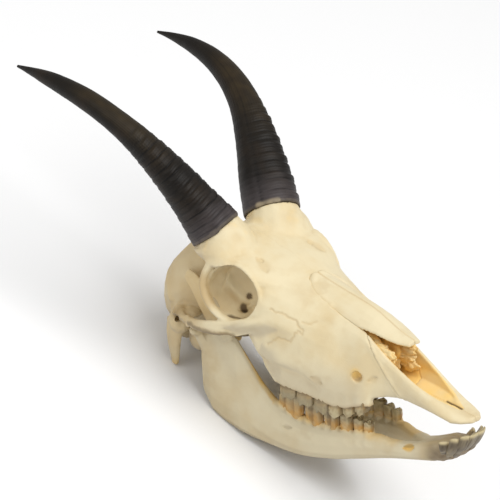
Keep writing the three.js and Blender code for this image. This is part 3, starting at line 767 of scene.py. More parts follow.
ENAMEL = StainedFinish(
    "stained_enamel", "tooth", base=(0.60, 0.50, 0.285), cloud=(0.46, 0.365, 0.195), tan=(0.27, 0.175, 0.075),
    orange=(0.56, 0.29, 0.06), grey=(0.30, 0.245, 0.145), dark=(0.045, 0.028, 0.016), roughness=0.4,
    gloss=0.4, cloud_size=180.0, grain_size=1500.0, relief=0.0001,
)


@dataclass
class Palette:
    """The materials of the skull, built once."""

    group: Tree
    made: dict[str, bpy.types.Material] = field(default_factory=dict)

    def dress(self, piece: Piece, finish: StainedFinish, node: str = "") -> None:
        """Give a piece its finish and tell the frame about it.

        Args:
            piece: The piece to dress.
            finish: The finish to give it.
            node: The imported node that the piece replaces, if any.
        """
        if finish.name not in self.made:
            self.made[finish.name] = finish.build(self.group)
        piece.data.materials.clear()
        piece.data.materials.append(self.made[finish.name])
        if node:
            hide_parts(node)
        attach(piece, "root")
        LOG.info("%s: %d faces", piece.name, len(piece.data.polygons))


UPPER_GUM_OUT = Profile([(-84, 28), (-97, 31), (-112, 33.5), (-128, 35), (-144, 36), (-156, 35)])
UPPER_GUM = Profile([(-84, 4.6), (-97, 1.6), (-112, 3.2), (-128, 6.6), (-144, 8.5), (-156, 10.5)])
BITE = Profile([(-76, -5.5), (-91, -8.2), (-104, -9.2), (-124, -6.2), (-140, -3.4), (-165, 0.5)])
JAW_INNER = Profile([(-66, 6), (-80, 9.5), (-95, 11.5), (-116, 15), (-138, 19), (-160, 22.5)])
JAW_OUTER = Profile([(-66, 17), (-80, 19.5), (-95, 22), (-116, 26), (-138, 30), (-160, 33.5)])
JAW_TOP = Profile([
    (-8, -13), (-13, -11.5), (-20, -10), (-30, -13), (-42, -17.5), (-54, -20.5), (-66, -20), (-80, -15.5),
    (-95, -16), (-116, -17), (-138, -15), (-160, -5.5),
])
UPPER_WEAR = Profile([(-80, 7), (-90, 5.6), (-104, 4.8), (-130, 4.8), (-150, 5.2)])
LOWER_WEAR = Profile([(-82, -3.5), (-89, -1), (-98, 1.4), (-110, 2.8), (-150, 3)])
CAVITY_HALF = Profile([(-13, 1.5), (-20, 5), (-30, 9.5), (-45, 12.5), (-60, 13.8), (-105, 14), (-120, 12)])
CAVITY_FLOOR = Profile([(-13, 8.5), (-20, 10), (-30, 12.5), (-45, 15), (-60, 17.5), (-85, 18.5), (-120, 24)])


def in_nose(points: Array, beside: float, below: float, rear: float, front: float) -> Array:
    """Tell which points lie in the open nose.

    Args:
        points: Points in skull millimetres.
        beside: How far past its side walls still counts.
        below: How far under its floor still counts.
        rear: The x at which it starts.
        front: The x at which it ends.

    Returns:
        True for each point inside.
    """
    x, y, z = points.T
    wide = np.abs(y) < CAVITY_HALF(x) + beside
    return wide & (z > CAVITY_FLOOR(x) - below) & (x > rear) & (x < front)


def strip_block(name: str, places: Sequence[tuple[float, float, float, float, float]],
                sides: Sequence[Side]) -> Piece:
    """Build a block that cuts along a row.

    Args:
        name: The block's name.
        places: (x, inner, outer, bottom, top) of its sections.
        sides: The halves to place a copy on.

    Returns:
        The block, one closed body for each side.
    """
    points: list[Array] = []
    faces: list[tuple[int, ...]] = []
    for side in sides:
        start = 4 * len(points)
        rings = [on_side([(x, inner, low), (x, outer, low), (x, outer, high), (x, inner, high)], side)
                 for x, inner, outer, low, high in places]
        points.extend(rings)
        for i, j in itertools.product(range(len(rings) - 1), range(4)):
            k, a = (j + 1) % 4, start + 4 * i
            faces.append((a + j, a + k, a + 4 + k, a + 4 + j))
        last = start + 4 * (len(rings) - 1)
        faces.append((start + 3, start + 2, start + 1, start))
        faces.append((last, last + 1, last + 2, last + 3))
    mesh = bpy.data.meshes.new(name)
    mesh.from_pydata(to_world(np.vstack(points)).tolist(), [], faces)
    block = bpy.data.objects.new(name, mesh)
    bpy.context.scene.collection.objects.link(block)
    clean_mesh(block, outward=True)
    return block


@dataclass
class Bone:
    """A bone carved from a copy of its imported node."""

    node: str
    source: Piece
    finish: StainedFinish
    voxel: float = 0.8
    most_faces: int = 190_000
    smoothing: int = 45
    thick: float = 9.0
    thin: float = 3.0
    least_pull: float = 0.12
    blur_rounds: int = 4
    last_rounds: int = 4
    seam_fill: float = 0.26

    def cutters(self) -> list[Piece]:
        """Give the blocks that take away what is modelled as pieces of its own."""
        return []

    def shape(self, clay: Clay) -> None:
        """Carve the bone's relief."""

    def paint(self, clay: Clay) -> None:
        """Lay the bone's stains and painted shade."""

    def age(self, clay: Clay) -> None:
        """Lay the marks of old bone: tan clouds, dirt and painted shade in the hollows, and a grey underside
        that is dirt and painted shade.

        Args:
            clay: The bone.
        """
        blotch = grain(clay.points, 21.0, 1) + 0.6 * grain(clay.points, 8.0, 7)
        blotch = blotch + 0.35 * grain(clay.points, 3.0, 8)
        clay.stain(Stain.TAN, 0.26 * blend_step(0.15, 1.1, blotch))
        # tan in the hollows: dirt, and painted shade in creases and recesses
        clay.stain(Stain.TAN, 0.5 * clay.hollows(3, 0.10))
        clay.stain(Stain.TAN, 0.35 * clay.hollows(14, 0.035))
        # grey on the downward faces: dirt, and painted shade on the undersides
        clay.stain(Stain.GREY, 0.6 * blend_step(0.3, -0.85, clay.normals @ SKULL_UP))

    def build(self, palette: Palette) -> None:
        """Make the bone.

        Args:
            palette: The skull's materials.
        """
        piece = bpy.data.objects.new(f"bone_{self.node}", self.source.data.copy())
        bpy.context.scene.collection.objects.link(piece)
        clean_mesh(piece)
        for block in self.cutters():
            apply_modifier(piece, "BOOLEAN", object=block, operation="DIFFERENCE", solver="EXACT")
            bpy.data.objects.remove(block)
        apply_modifier(piece, "REMESH", mode="VOXEL", voxel_size=self.voxel * MM)
        clay = Clay(piece)
        weight = blend_step(self.thin, self.thick, clay.thickness(self.thick + 1.0))
        clay.relax(np.maximum(clay.neighbours(weight, self.blur_rounds), self.least_pull), self.smoothing)
        clay.relax(np.ones(clay.count), self.last_rounds)
        self.shape(clay)
        clay.write()
        faces = sum(len(face.vertices) - 2 for face in piece.data.polygons)
        if faces > self.most_faces:
            apply_modifier(piece, "DECIMATE", ratio=self.most_faces / faces)
        clay = Clay(piece)
        self.age(clay)
        self.paint(clay)
        clay.write()
        palette.dress(piece, self.finish, self.node)


NOSE_TIP_SEAM: Path = ((-79, 18, 47), (-70.5, 19, 35.5), (-62, 18.5, 26), (-57, 16, 14.5))


@dataclass(frozen=True)
class BoredHole:
    """A hole bored in the solid, made shallow, with the reach over which its rim is softened."""

    mouth: Point
    foot: Point
    radius: float
    depth: float
    soft: float


@dataclass
class Cranium(Bone):
    """Upper skull: face, orbits, braincase, arches and horn pedicles."""

    orbit_centre: Point = (-181, 48.8, 75.2)
    orbit_forward: Point = (0.962, -0.251, -0.103)
    orbit_up: Point = (-0.102, -0.071, 0.992)
    orbit_radius: float = 21.6
    orbit_flatness: float = 0.95
    orbit_depth: float = 32.0
    orbit_fold: Path = ((-14, 5, -19), (-9, -4, -21), (0, -10, -21), (8, -12, -19))
    horn_base: Point = (-211.6, 29.2, 112.1)
    horn_axis: Point = (-0.45, 0.27, 0.85)
    neck_foot: Point = (-204, 26, 99)
    neck_reach: float = 46.0
    tooth_front: float = -74.5
    tooth_back: float = -154.0
    crest: Path = (
        (-174.5, 52, 51), (-164, 48.5, 55), (-154, 45, 59), (-147.5, 42.5, 58.5), (-138, 39.5, 55.5),
        (-133, 38, 53.5),
    )
    cheek_hollow: Path = (
        (-184, 54, 47), (-176, 52, 48), (-169, 49.5, 48), (-162, 46.5, 49), (-153, 44.5, 52),
        (-145, 42.5, 53),
    )
    cheek_valley: Path = ((-184, 52, 54.5), (-168, 49, 57), (-155, 44.5, 60.5), (-141, 39.5, 60))
    # path of the painted shade behind the cheek
    cheek_rear: Path = ((-159, 43, 38), (-155, 41, 26), (-151, 36.5, 12))
    cheek_suture: Path = (
        (-150.5, 41, 67), (-141, 37.5, 64), (-132, 35, 60.5), (-127.5, 35, 55.5), (-125.5, 34.5, 53),
        (-126, 35.5, 51.5), (-129, 36.5, 53), (-131.5, 37.5, 52), (-134, 38.5, 46), (-144.5, 41, 47.5),
        (-153, 42.5, 41.5),
    )
    suture_branch: Path = ((-127, 32.5, 59.5), (-122, 31, 58), (-121.5, 29.5, 59.5), (-119, 27.5, 60))
    brow_groove: Path = ((-174.5, 27, 97), (-165, 28.5, 92), (-162, 30.5, 89.5))
    jaw_muscle_edge: Path = (
        (-160, 42, 33), (-150.5, 41.5, 31), (-140.5, 40, 29.5), (-127.5, 37.5, 28), (-118, 36, 21),
    )
    jaw_muscle_slit: Path = ((-119, 36, 21.5), (-111, 35, 18))
    nerve_groove: Path = ((-77.5, 23.5, 23.5), (-71.5, 21, 26.5))
    cheek_hole: Point = (-86.5, 24, 27)
    bored_holes: tuple[BoredHole, ...] = (
        BoredHole((-80, 31, 24), (-92, 18, 27), 3.4, 1.9, 0.0),
        BoredHole((-170, 26, 100), (-174, 26, 90), 2.6, 0.8, 8.0),
    )
    snout_hollow: Path = ((-96, 26, 39), (-92, 26, 34))
    tear_holes: tuple[tuple[Point, float], ...] = (((-186, 30, 59.5), 4.5), ((-184, 24, 63.5), 2.6))
    # path of the painted shade along the arch's lower edge
    arch_edge: Path = ((-222, 50, 46), (-207, 54, 44.5), (-190, 54, 43), (-178, 52, 41.5))
    ear: Path = ((-246, 40, 44), (-240.5, 44, 46), (-231.5, 48, 45))
    mid_suture: Path = ((-143, 0, 86), (-180, 0, 101.5), (-206, 0, 110))
    crown_suture: Path = ((-230, 0, 107), (-231, 14, 104.5), (-228, 24, 99), (-226, 31, 88))
    nape_crest: Path = ((-266, 0, 84), (-265, 15, 80), (-261, 28, 68), (-257, 35, 54))
    process_tip: Point = (-258.5, 33, 4)

    def cutters(self) -> list[Piece]:
        """Give the block that takes away the plain cheek teeth.

        Returns:
            The block, alone in a list.
        """
        rise, deep, inner, outer = 0.3, -20.0, 12.0, 45.0
        xs = np.linspace(self.tooth_front, self.tooth_back, 14)
        return [strip_block("upper_tooth_block", [
            (x, inner, outer, deep, float(UPPER_GUM(x)) + rise) for x in xs
        ], list(Side))]

    def orbit_axes(self, side: Side) -> Array:
        """Give an orbit's forward, up and outward directions, one per column."""
        forward, upward = (on_side([way], side)[0] for way in (self.orbit_forward, self.orbit_up))
        return np.stack([forward, upward, -side.value * np.cross(forward, upward)], axis=1)

    def orbit_point(self, side: Side, ahead: float, up: float, out: float) -> Array:
        """Give the skull point at a place in an orbit's own frame."""
        return on_side([self.orbit_centre], side)[0] + self.orbit_axes(side) @ np.array([ahead, up, out])

    def orbit_place(self, clay: Clay, side: Side) -> Array:
        """Give points in an orbit's own frame: forward, up and outward from its centre."""
        return (clay.points - on_side([self.orbit_centre], side)[0]) @ self.orbit_axes(side)

    def orbit_path(self, side: Side, spots: Sequence[Point]) -> Array:
        """Give the skull points of a path in an orbit's own frame."""
        return np.array([self.orbit_point(side, *spot) for spot in spots])

    def orbit_ring(self, ahead: Array, up: Array) -> Array:
        """Give the distance from an orbit's axis, evened out for its lower height."""
        return np.hypot(ahead, up / self.orbit_flatness)

    def necks(self, clay: Clay) -> Array:
        """Give a mask of both horn pedicles, without what the sheaths sit on.

        Args:
            clay: The bone.

        Returns:
            The mask.
        """
        near, bare = np.zeros(clay.count), np.ones(clay.count)
        for side in Side:
            base, foot, axis = on_side((self.horn_base, self.neck_foot, self.horn_axis), side)
            near = np.maximum(near, clay.around(np.stack([base, foot]), self.neck_reach))
            along = (clay.points - base) @ (axis / np.linalg.norm(axis))
            bare = np.where(clay.points[:, 1] * side.value > 0, blend_step(-1.5, -7.0, along), bare)
        return near * bare

    def off_rims(self, clay: Clay) -> Array:
        """Give a mask that leaves out both orbits and their rims.

        Args:
            clay: The bone.

        Returns:
            The mask.
        """
        inner, outer = 26.5, 30.0
        mask = np.ones(clay.count)
        for side in Side:
            ahead, up, out = self.orbit_place(clay, side).T
            ring = self.orbit_ring(ahead, up)
            near = (ring < outer) & (out > -outer) & (clay.points[:, 1] * side.value > 0)
            mask = np.where(near, blend_step(inner, outer, ring), mask)
        return mask

    def shape(self, clay: Clay) -> None:
        """Carve ridges, hollows, sutures, holes and rough spots on both halves.

        Args:
            clay: The bone.
        """
        rims = self.off_rims(clay)
        necks = self.necks(clay) * rims
        clay.melt(necks, 60)
        for side in Side:
            self.shape_cheek(clay, side, rims)
            clay.face_out()
            for hole in self.bored_holes:
                axis = on_side((hole.mouth, hole.foot), side)
                clay.fill(*axis, hole.radius, hole.depth)
                if hole.soft > 0:
                    clay.melt(clay.around(axis, hole.soft), 25)
            for path in (self.cheek_suture, self.suture_branch, self.crown_suture):
                clay.raise_along(wander(on_side(path, side)), 0.7, -0.4)
            for centre, radius in self.tear_holes:
                clay.raise_along(on_side([centre], side), radius * 0.75, -3.0)
            self.shape_roots(clay, side)
            self.shape_orbit(clay, side)
            clay.roughen(clay.around(on_side(self.ear, side), 15.0), 3.4, 1.7, 5)
        clay.raise_along(wander(np.array(self.mid_suture)), 0.7, -0.35)
        clay.roughen(necks, 4.0, 0.16, 9)
        everywhere = np.ones(clay.count)
        for size, height, seed in ((15, 0.22, 3), (4, 0.06, 4)):
            clay.roughen(everywhere, size, height, seed)
        scrolls = in_nose(clay.points, -0.6, -1.0, -118.0, -72.0).astype(float)
        for size, height, seed in ((5.5, 1.5, 15), (2.6, 0.5, 16)):
            clay.roughen(scrolls, size, height, seed)

    def shape_cheek(self, clay: Clay, side: Side, rims: Array) -> None:
        """Carve a half's ridges and hollows.

        Args:
            clay: The bone.
            side: The half.
            rims: A mask that leaves out the orbits.
        """
        clay.melt(rims * clay.around(on_side(self.cheek_valley, side), 12.0), 30)
        for path, width, height, taper in (
            (self.crest, 2.4, 1.2, 0.0), (self.cheek_hollow[:4], 5.0, -3.4, 0.0),
            (self.cheek_hollow[3:], 4.2, -1.2, 0.0), (self.jaw_muscle_edge, 5.0, 0.8, 0.0),
            (NOSE_TIP_SEAM, 1.6, 0.5, 0.0), (self.snout_hollow, 9.0, -1.6, 0.0),
            (self.nape_crest, 2.6, 1.4, 0.0), (self.jaw_muscle_slit, 2.6, -1.2, clay.pointed),
            (self.nerve_groove, 2.0, -1.0, clay.pointed), (self.brow_groove, 3.4, -1.0, clay.pointed),
        ):
            clay.raise_along(on_side(path, side), width, height, taper)
        clay.melt(clay.around(on_side(self.crest[3:], side), 11.0), 40)
        clay.melt(rims * clay.around(on_side(self.cheek_hollow[1:5], side), 9.0), 25)
        under = [(x, out - 1.0, z - 8.0) for x, out, z in self.jaw_muscle_edge]
        clay.raise_along(on_side(under, side), 6.0, -2.4)

    def shape_orbit(self, clay: Clay, side: Side) -> None:
        """Fold the wall inside an orbit.

        Args:
            clay: The bone.
            side: The half.
        """
        ahead, up, out = self.orbit_place(clay, side).T
        ring = self.orbit_ring(ahead, up) / self.orbit_radius
        own = clay.points[:, 1] * side.value > 3.0
        floor = -15.0
        lift = own * (1.0 - blend_step(0.75, 1.0, ring)) * 0.6 * np.clip(floor - out, 0.0, 18.0)
        clay.points += lift[:, None] * self.orbit_axes(side)[:, 2]
        clay.roughen((ring < 1.0) * blend_step(-7.0, -12.0, out) * own, 11.0, 1.9, 17)
        clay.raise_along(self.orbit_path(side, self.orbit_fold), 4.0, 2.4)

    def shape_roots(self, clay: Clay, side: Side) -> None:
        """Raise a low swelling over the root of each upper cheek tooth.

        Args:
            clay: The bone.
            side: The half.
        """
        for tooth in UPPER_ROW.teeth():
            foot, out = float(UPPER_GUM(tooth.x)), float(UPPER_GUM_OUT(tooth.x))
            root = on_side([(tooth.x, out, foot), (tooth.x, out + 0.6, foot + 9.0)], side)
            clay.raise_along(root, 0.33 * tooth.length, 0.55)

    def paint(self, clay: Clay) -> None:
        """Lay the stains of nose, temples and tooth sockets and those of each half, with painted shade deep
        in the nose, on the lower snout and at the gum line.

        Args:
            clay: The bone.
        """
        x, y, z = clay.points.T
        patch = clay.patches(9.0, 2)
        inside = in_nose(clay.points, 0.7, 0.7, -121.0, -12.0)
        clay.stain(Stain.ORANGE, inside * (0.8 + 0.2 * patch))
        # painted shade: dark deep in the nose and in its hollows
        clay.stain(Stain.DARK, inside * 0.3 * blend_step(-108.0, -120.0, x))
        clay.stain(Stain.DARK, inside * 0.15 * clay.hollows(2, 0.08))
        temple = blend_step(-200.0, -216.0, x) * blend_step(104.0, 88.0, z)
        clay.stain(Stain.TAN, temple * (0.35 + 0.3 * patch))
        # painted shade: the lower snout greyer towards the bottom
        snout = blend_step(-76.0, -84.0, x) * blend_step(-168.0, -160.0, x) * (np.abs(y) > 15.0)
        clay.stain(Stain.GREY, 0.4 * snout * blend_step(38.0, 12.0, z))
        for side in Side:
            self.paint_orbit(clay, side, patch)
            self.paint_half(clay, side, patch)
        row = (x < self.tooth_front) & (x > self.tooth_back) & (np.abs(y) > 13.0)
        height = z - np.where(row, UPPER_GUM(x), -99.0)
        clay.stain(Stain.TAN, row * (1.0 - blend_step(0.3, 3.5, height)) * 0.7)
        # painted shade: a dark line at the gum line, where the teeth meet the bone
        clay.stain(Stain.DARK, row * (1.0 - blend_step(0.2, 1.3, height)) * 0.45)

    def paint_orbit(self, clay: Clay, side: Side, patch: Array) -> None:
        """Stain an orbit, with painted shade inside its tear holes.

        Args:
            clay: The bone.
            side: The half.
            patch: Smooth noise from 0 to 1.
        """
        ahead, up, out = self.orbit_place(clay, side).T
        sizes = (self.orbit_radius, self.orbit_flatness * self.orbit_radius, self.orbit_depth)
        reach = np.sqrt(sum((place / size) ** 2 for place, size in zip((ahead, up, out + 2.0), sizes)))
        socket = (reach < 1.06) * blend_step(-5.0, -9.0, out)
        clay.stain(Stain.TAN, socket * blend_step(-4.0, -16.0, up) * (0.05 + 0.3 * patch))
        under_fold = [(ahead - 2.0, up - 4.5, out) for ahead, up, out in self.orbit_fold]
        rear_rim = [(-24.0, up, -4.0) for up in (6, -4, -14)]
        seat = [(ahead, -0.90 * self.orbit_radius, -9.0) for ahead in (-7, 0, 6)]
        for kind, spots, radius, share in (
            (Stain.TAN, under_fold, 5.0, 0.25 + 0.4 * patch), (Stain.TAN, rear_rim, 11.0, 0.85),
            (Stain.DARK, seat, 3.0, 0.8),
        ):
            clay.tint(kind, self.orbit_path(side, spots), radius, share)
        for centre, radius in self.tear_holes:
            spot = on_side([centre], side)
            clay.tint(Stain.TAN, spot, 1.9 * radius, 0.7)
            # painted shade inside the tear hole
            clay.stain(Stain.DARK, 0.85 * blend_step(0.25, 0.7, clay.around(spot, 1.4 * radius)))

    def paint_half(self, clay: Clay, side: Side, patch: Array) -> None:
        """Stain a half's sutures, grooves, holes, ear and horn pedicle, and paint shade under the arch, in
        the muscle slit, in the cheek hollow and behind the cheek.

        Args:
            clay: The bone.
            side: The half.
            patch: Smooth noise from 0 to 1.
        """
        # the dark along the arch's lower edge is painted shade under the arch; the suture tints are stains
        for kind, path, radius, share in (
            (Stain.TAN, self.cheek_suture, 1.3, 0.4), (Stain.TAN, self.suture_branch, 1.3, 0.3),
            (Stain.TAN, self.crown_suture, 1.4, 0.4), (Stain.DARK, self.arch_edge, 3.0, 0.55),
        ):
            clay.tint(kind, wander(on_side(path, side)), radius, share)
        # painted shade: the tan and grey in the muscle slit, the tan under the arch, and the grey in the
        # cheek hollow and behind the cheek; the brow groove's tan is its own colour
        for kind, path, radius, share in (
            (Stain.TAN, self.brow_groove, 7.0, 0.3), (Stain.TAN, self.jaw_muscle_slit, 5.0, 0.4),
            (Stain.TAN, self.arch_edge, 5.0, 0.6), (Stain.GREY, self.jaw_muscle_slit, 4.5, 0.3),
            (Stain.GREY, self.cheek_hollow, 9.0, 0.5), (Stain.GREY, self.cheek_rear, 16.0, 0.5),
        ):
            clay.tint(kind, on_side(path, side), radius, share, clay.pointed)
        specks = blend_step(0.1, 0.6, grain(clay.points, 5.0, 12))
        for kind, path, radius, share in (
            (Stain.TAN, self.ear, 16.0, 0.35 + 0.6 * patch), (Stain.DARK, self.ear, 8.0, 0.45 * patch),
            (Stain.ORANGE, [self.process_tip], 13.0, 0.5 * patch),
            (Stain.ORANGE, [self.cheek_hole], 8.0, 0.25), (Stain.ORANGE, [self.cheek_hole], 6.0, 0.75),
            (Stain.TAN, [self.cheek_hole], 5.0, 0.9),
            (Stain.TAN, [self.horn_base], 38.0, 0.55 * blend_step(0.45, 0.9, patch)),
            (Stain.ORANGE, [self.horn_base], 38.0, 0.3 * specks),
        ):
            clay.tint(kind, on_side(path, side), radius, share)


@dataclass
class NasalBone(Bone):
    """One of the two roof bones of the nose."""

    side: Side = Side.RIGHT
    seam: Path = (
        (-142, 4, 84.5), (-138, 11, 80), (-132, 14, 75), (-117, 15.5, 69), (-103, 16, 64),
        (-92, 15.5, 59.5),
    )
    rear_points: int = 4

    def shape(self, clay: Clay) -> None:
        """Set the edge at the seam flush with the face, and give the bone faint long swells.

        Args:
            clay: The bone.
        """
        clay.raise_along(on_side(self.seam[:self.rear_points], self.side), 2.8, 1.4)
        clay.face_out()
        clay.roughen(np.ones(clay.count), 9.0, 0.10, 11)
        clay.inflate(self.seam_fill)

    def paint(self, clay: Clay) -> None:
        """Stain the seams, and the underside with the colour of the nose.

        Args:
            clay: The bone.
        """
        clay.tint(Stain.TAN, on_side(self.seam, self.side), 3.5, 0.15)
        clay.stain(Stain.ORANGE, 0.8 * blend_step(-0.2, -0.6, clay.normals[:, 2]))
        clay.stain(Stain.TAN, 0.3 * (1.0 - blend_step(0.2, 1.6, np.abs(clay.points[:, 1]))))


@dataclass
class NoseTip(Bone):
    """One of the two bones of the nose tip."""

    side: Side = Side.RIGHT
    slit: Path = ((-27.5, 0.5, 12), (-15, 0.5, 9.5))

    def shape(self, clay: Clay) -> None:
        """Set the seam flush with the face and open the slit on the midline.

        Args:
            clay: The bone.
        """
        clay.roughen(np.ones(clay.count), 8.0, 0.10, 13)
        clay.raise_along(on_side(NOSE_TIP_SEAM, self.side), 1.6, 0.6)
        clay.face_out()
        clay.inflate(self.seam_fill)
        clay.raise_along(on_side(self.slit, self.side), 1.0, -1.1)

    def paint(self, clay: Clay) -> None:
        """Stain the inside of the nose and paint shade into the slit.

        Args:
            clay: The bone.
        """
        inside = in_nose(clay.points, 0.5, 0.7, -121.0, -14.0)
        clay.stain(Stain.ORANGE, inside * (0.7 + 0.3 * grain(clay.points, 7.0, 4)))
        # painted shade in the slit
        clay.tint(Stain.DARK, on_side(self.slit, self.side), 1.2, 0.75)
        clay.tint(Stain.TAN, on_side(self.slit, self.side), 4.0, 0.4)


@dataclass
class JawHalf(Bone):
    """One half of the lower jaw, without its teeth."""

    side: Side = Side.RIGHT
    row_front: float = -80.0
    row_back: float = -162.0
    slit: Path = ((-152, 32, -23.5), (-145.5, 30.5, -23.5))
    chin_hole: Path = ((-55, 14.5, -23.5), (-51.5, 14, -23), (-48, 13, -22))
    muscle_hollow: Path = ((-211.5, 40, 26), (-202.5, 40, 14), (-194, 39.5, 2))
    behind_teeth: Path = ((-183.5, 35, 23), (-177.5, 32, 13.5), (-170.5, 29, 3.5), (-163.5, 27, -5))
    gap_edge: Path = ((-83, 16, -18), (-76, 14, -19.5), (-66, 11, -21))
    chin: Path = ((-26, 10, -26), (-14, 8, -21), (-8, 5, -16))

    def cutters(self) -> list[Piece]:
        """Give the blocks that take away the plain cheek teeth and incisors.

        Returns:
            The blocks.
        """
        rise, high = 0.2, 15.0
        cheek = [(x, float(JAW_INNER(x)) - 4.0, float(JAW_OUTER(x)) + 4.0, float(JAW_TOP(x)) + rise, high)
                 for x in np.linspace(-80.6, -160.5, 14)]
        front = [(x, -6.0, 22.0, float(JAW_TOP(x)) + 2.0 * rise, high) for x in np.linspace(8, -26, 10)]
        tip = [(x, -6.0, 22.0, -30.0, high) for x in (12.0, -8.2)]
        return [strip_block(f"{name}_block", places, [self.side])
                for name, places in (("cheek", cheek), ("front", front), ("tip", tip))]

    def in_row(self, x: Array) -> Array:
        """Tell which places lie along the cheek teeth."""
        return (x < self.row_front) & (x > self.row_back)

    def shape(self, clay: Clay) -> None:
        """Carve the jaw's holes, the muscle hollow and the swellings of the tooth roots.

        Args:
            clay: The bone.
        """
        clay.raise_along(on_side(self.muscle_hollow, self.side), 9.0, -1.3)
        for path, width, height in ((self.slit, 1.8, -0.7), (self.chin_hole, 2.4, -1.6)):
            clay.raise_along(on_side(path, self.side), width, height, clay.pointed)
        for tooth in LOWER_ROW.teeth():
            out, head = float(JAW_OUTER(tooth.x)), float(JAW_TOP(tooth.x)) - 1.0
            root = on_side([(tooth.x, out, head), (tooth.x, out, head - 9.0)], self.side)
            clay.raise_along(root, 0.3 * tooth.length, 0.45)
        x, _, z = clay.points.T
        clay.melt(self.in_row(x) * (1.0 - blend_step(2.5, 5.0, np.abs(JAW_TOP(x) - z))), 20)
        clay.roughen(np.ones(clay.count), 12.0, 0.12, 21)
        clay.roughen(clay.around(on_side(self.chin, self.side), 14.0), 2.6, 0.35, 22)

    def paint(self, clay: Clay) -> None:
        """Lay the stains of gums, holes, chin and the edge behind the teeth, and painted shade on the inner
        faces, under the chin hole's upper rim and in the slit.

        Args:
            clay: The bone.
        """
        x, _, z = clay.points.T
        outward = clay.normals[:, 1] * self.side.value
        patch, streaks = clay.patches(6.0, 6), clay.patches(2.2, 23, STREAK)
        row = self.in_row(x)
        gum = 1.0 - blend_step(0.5, 4.5, np.where(row, JAW_TOP(x), 99.0) - z)
        clay.stain(Stain.ORANGE, row * gum * (0.25 + 0.65 * patch))
        clay.stain(Stain.ORANGE, 0.3 * blend_step(38.0, 52.0, z))
        # painted shade: grey on the inner faces, which face away from the light
        clay.stain(Stain.GREY, 0.15 * blend_step(0.2, 0.7, -outward) * (x < -60.0) * (x > -165.0))
        front_edge = blend_step(-0.1, 0.35, clay.normals[:, 2] - outward * 0.6)
        # the chin hole's upper wall, where painted shade goes
        rim = [(x, out, z + 2.0) for x, out, z in self.chin_hole]
        for kind, path, radius, share, taper in (
            (Stain.ORANGE, self.behind_teeth, 8.0, (0.45 + 0.5 * patch) * front_edge, 0.0),
            (Stain.ORANGE, self.gap_edge, 8.0, 0.2 + 0.4 * patch, 0.0),
            # painted shade: dark under the chin hole's upper rim
            (Stain.ORANGE, self.chin_hole, 4.2, 0.9, clay.pointed), (Stain.DARK, rim, 2.0, 0.4, clay.pointed),
            # painted shade: grey in the slit
            (Stain.GREY, self.slit, 2.4, 0.35, clay.pointed),
            (Stain.TAN, self.chin, 26.0, 0.35 + 0.6 * patch, 0.0),
            (Stain.GREY, self.chin, 20.0, 0.4 + 0.3 * patch, 0.0),
            (Stain.DARK, self.chin, 15.0, 0.22 + 0.55 * streaks, 0.0),
        ):
            clay.tint(kind, on_side(path, self.side), radius, share, taper)


@dataclass(frozen=True)
class CheekTooth:
    """A place in a row of cheek teeth."""

    x: float
    length: float
    lobes: int
    number: int


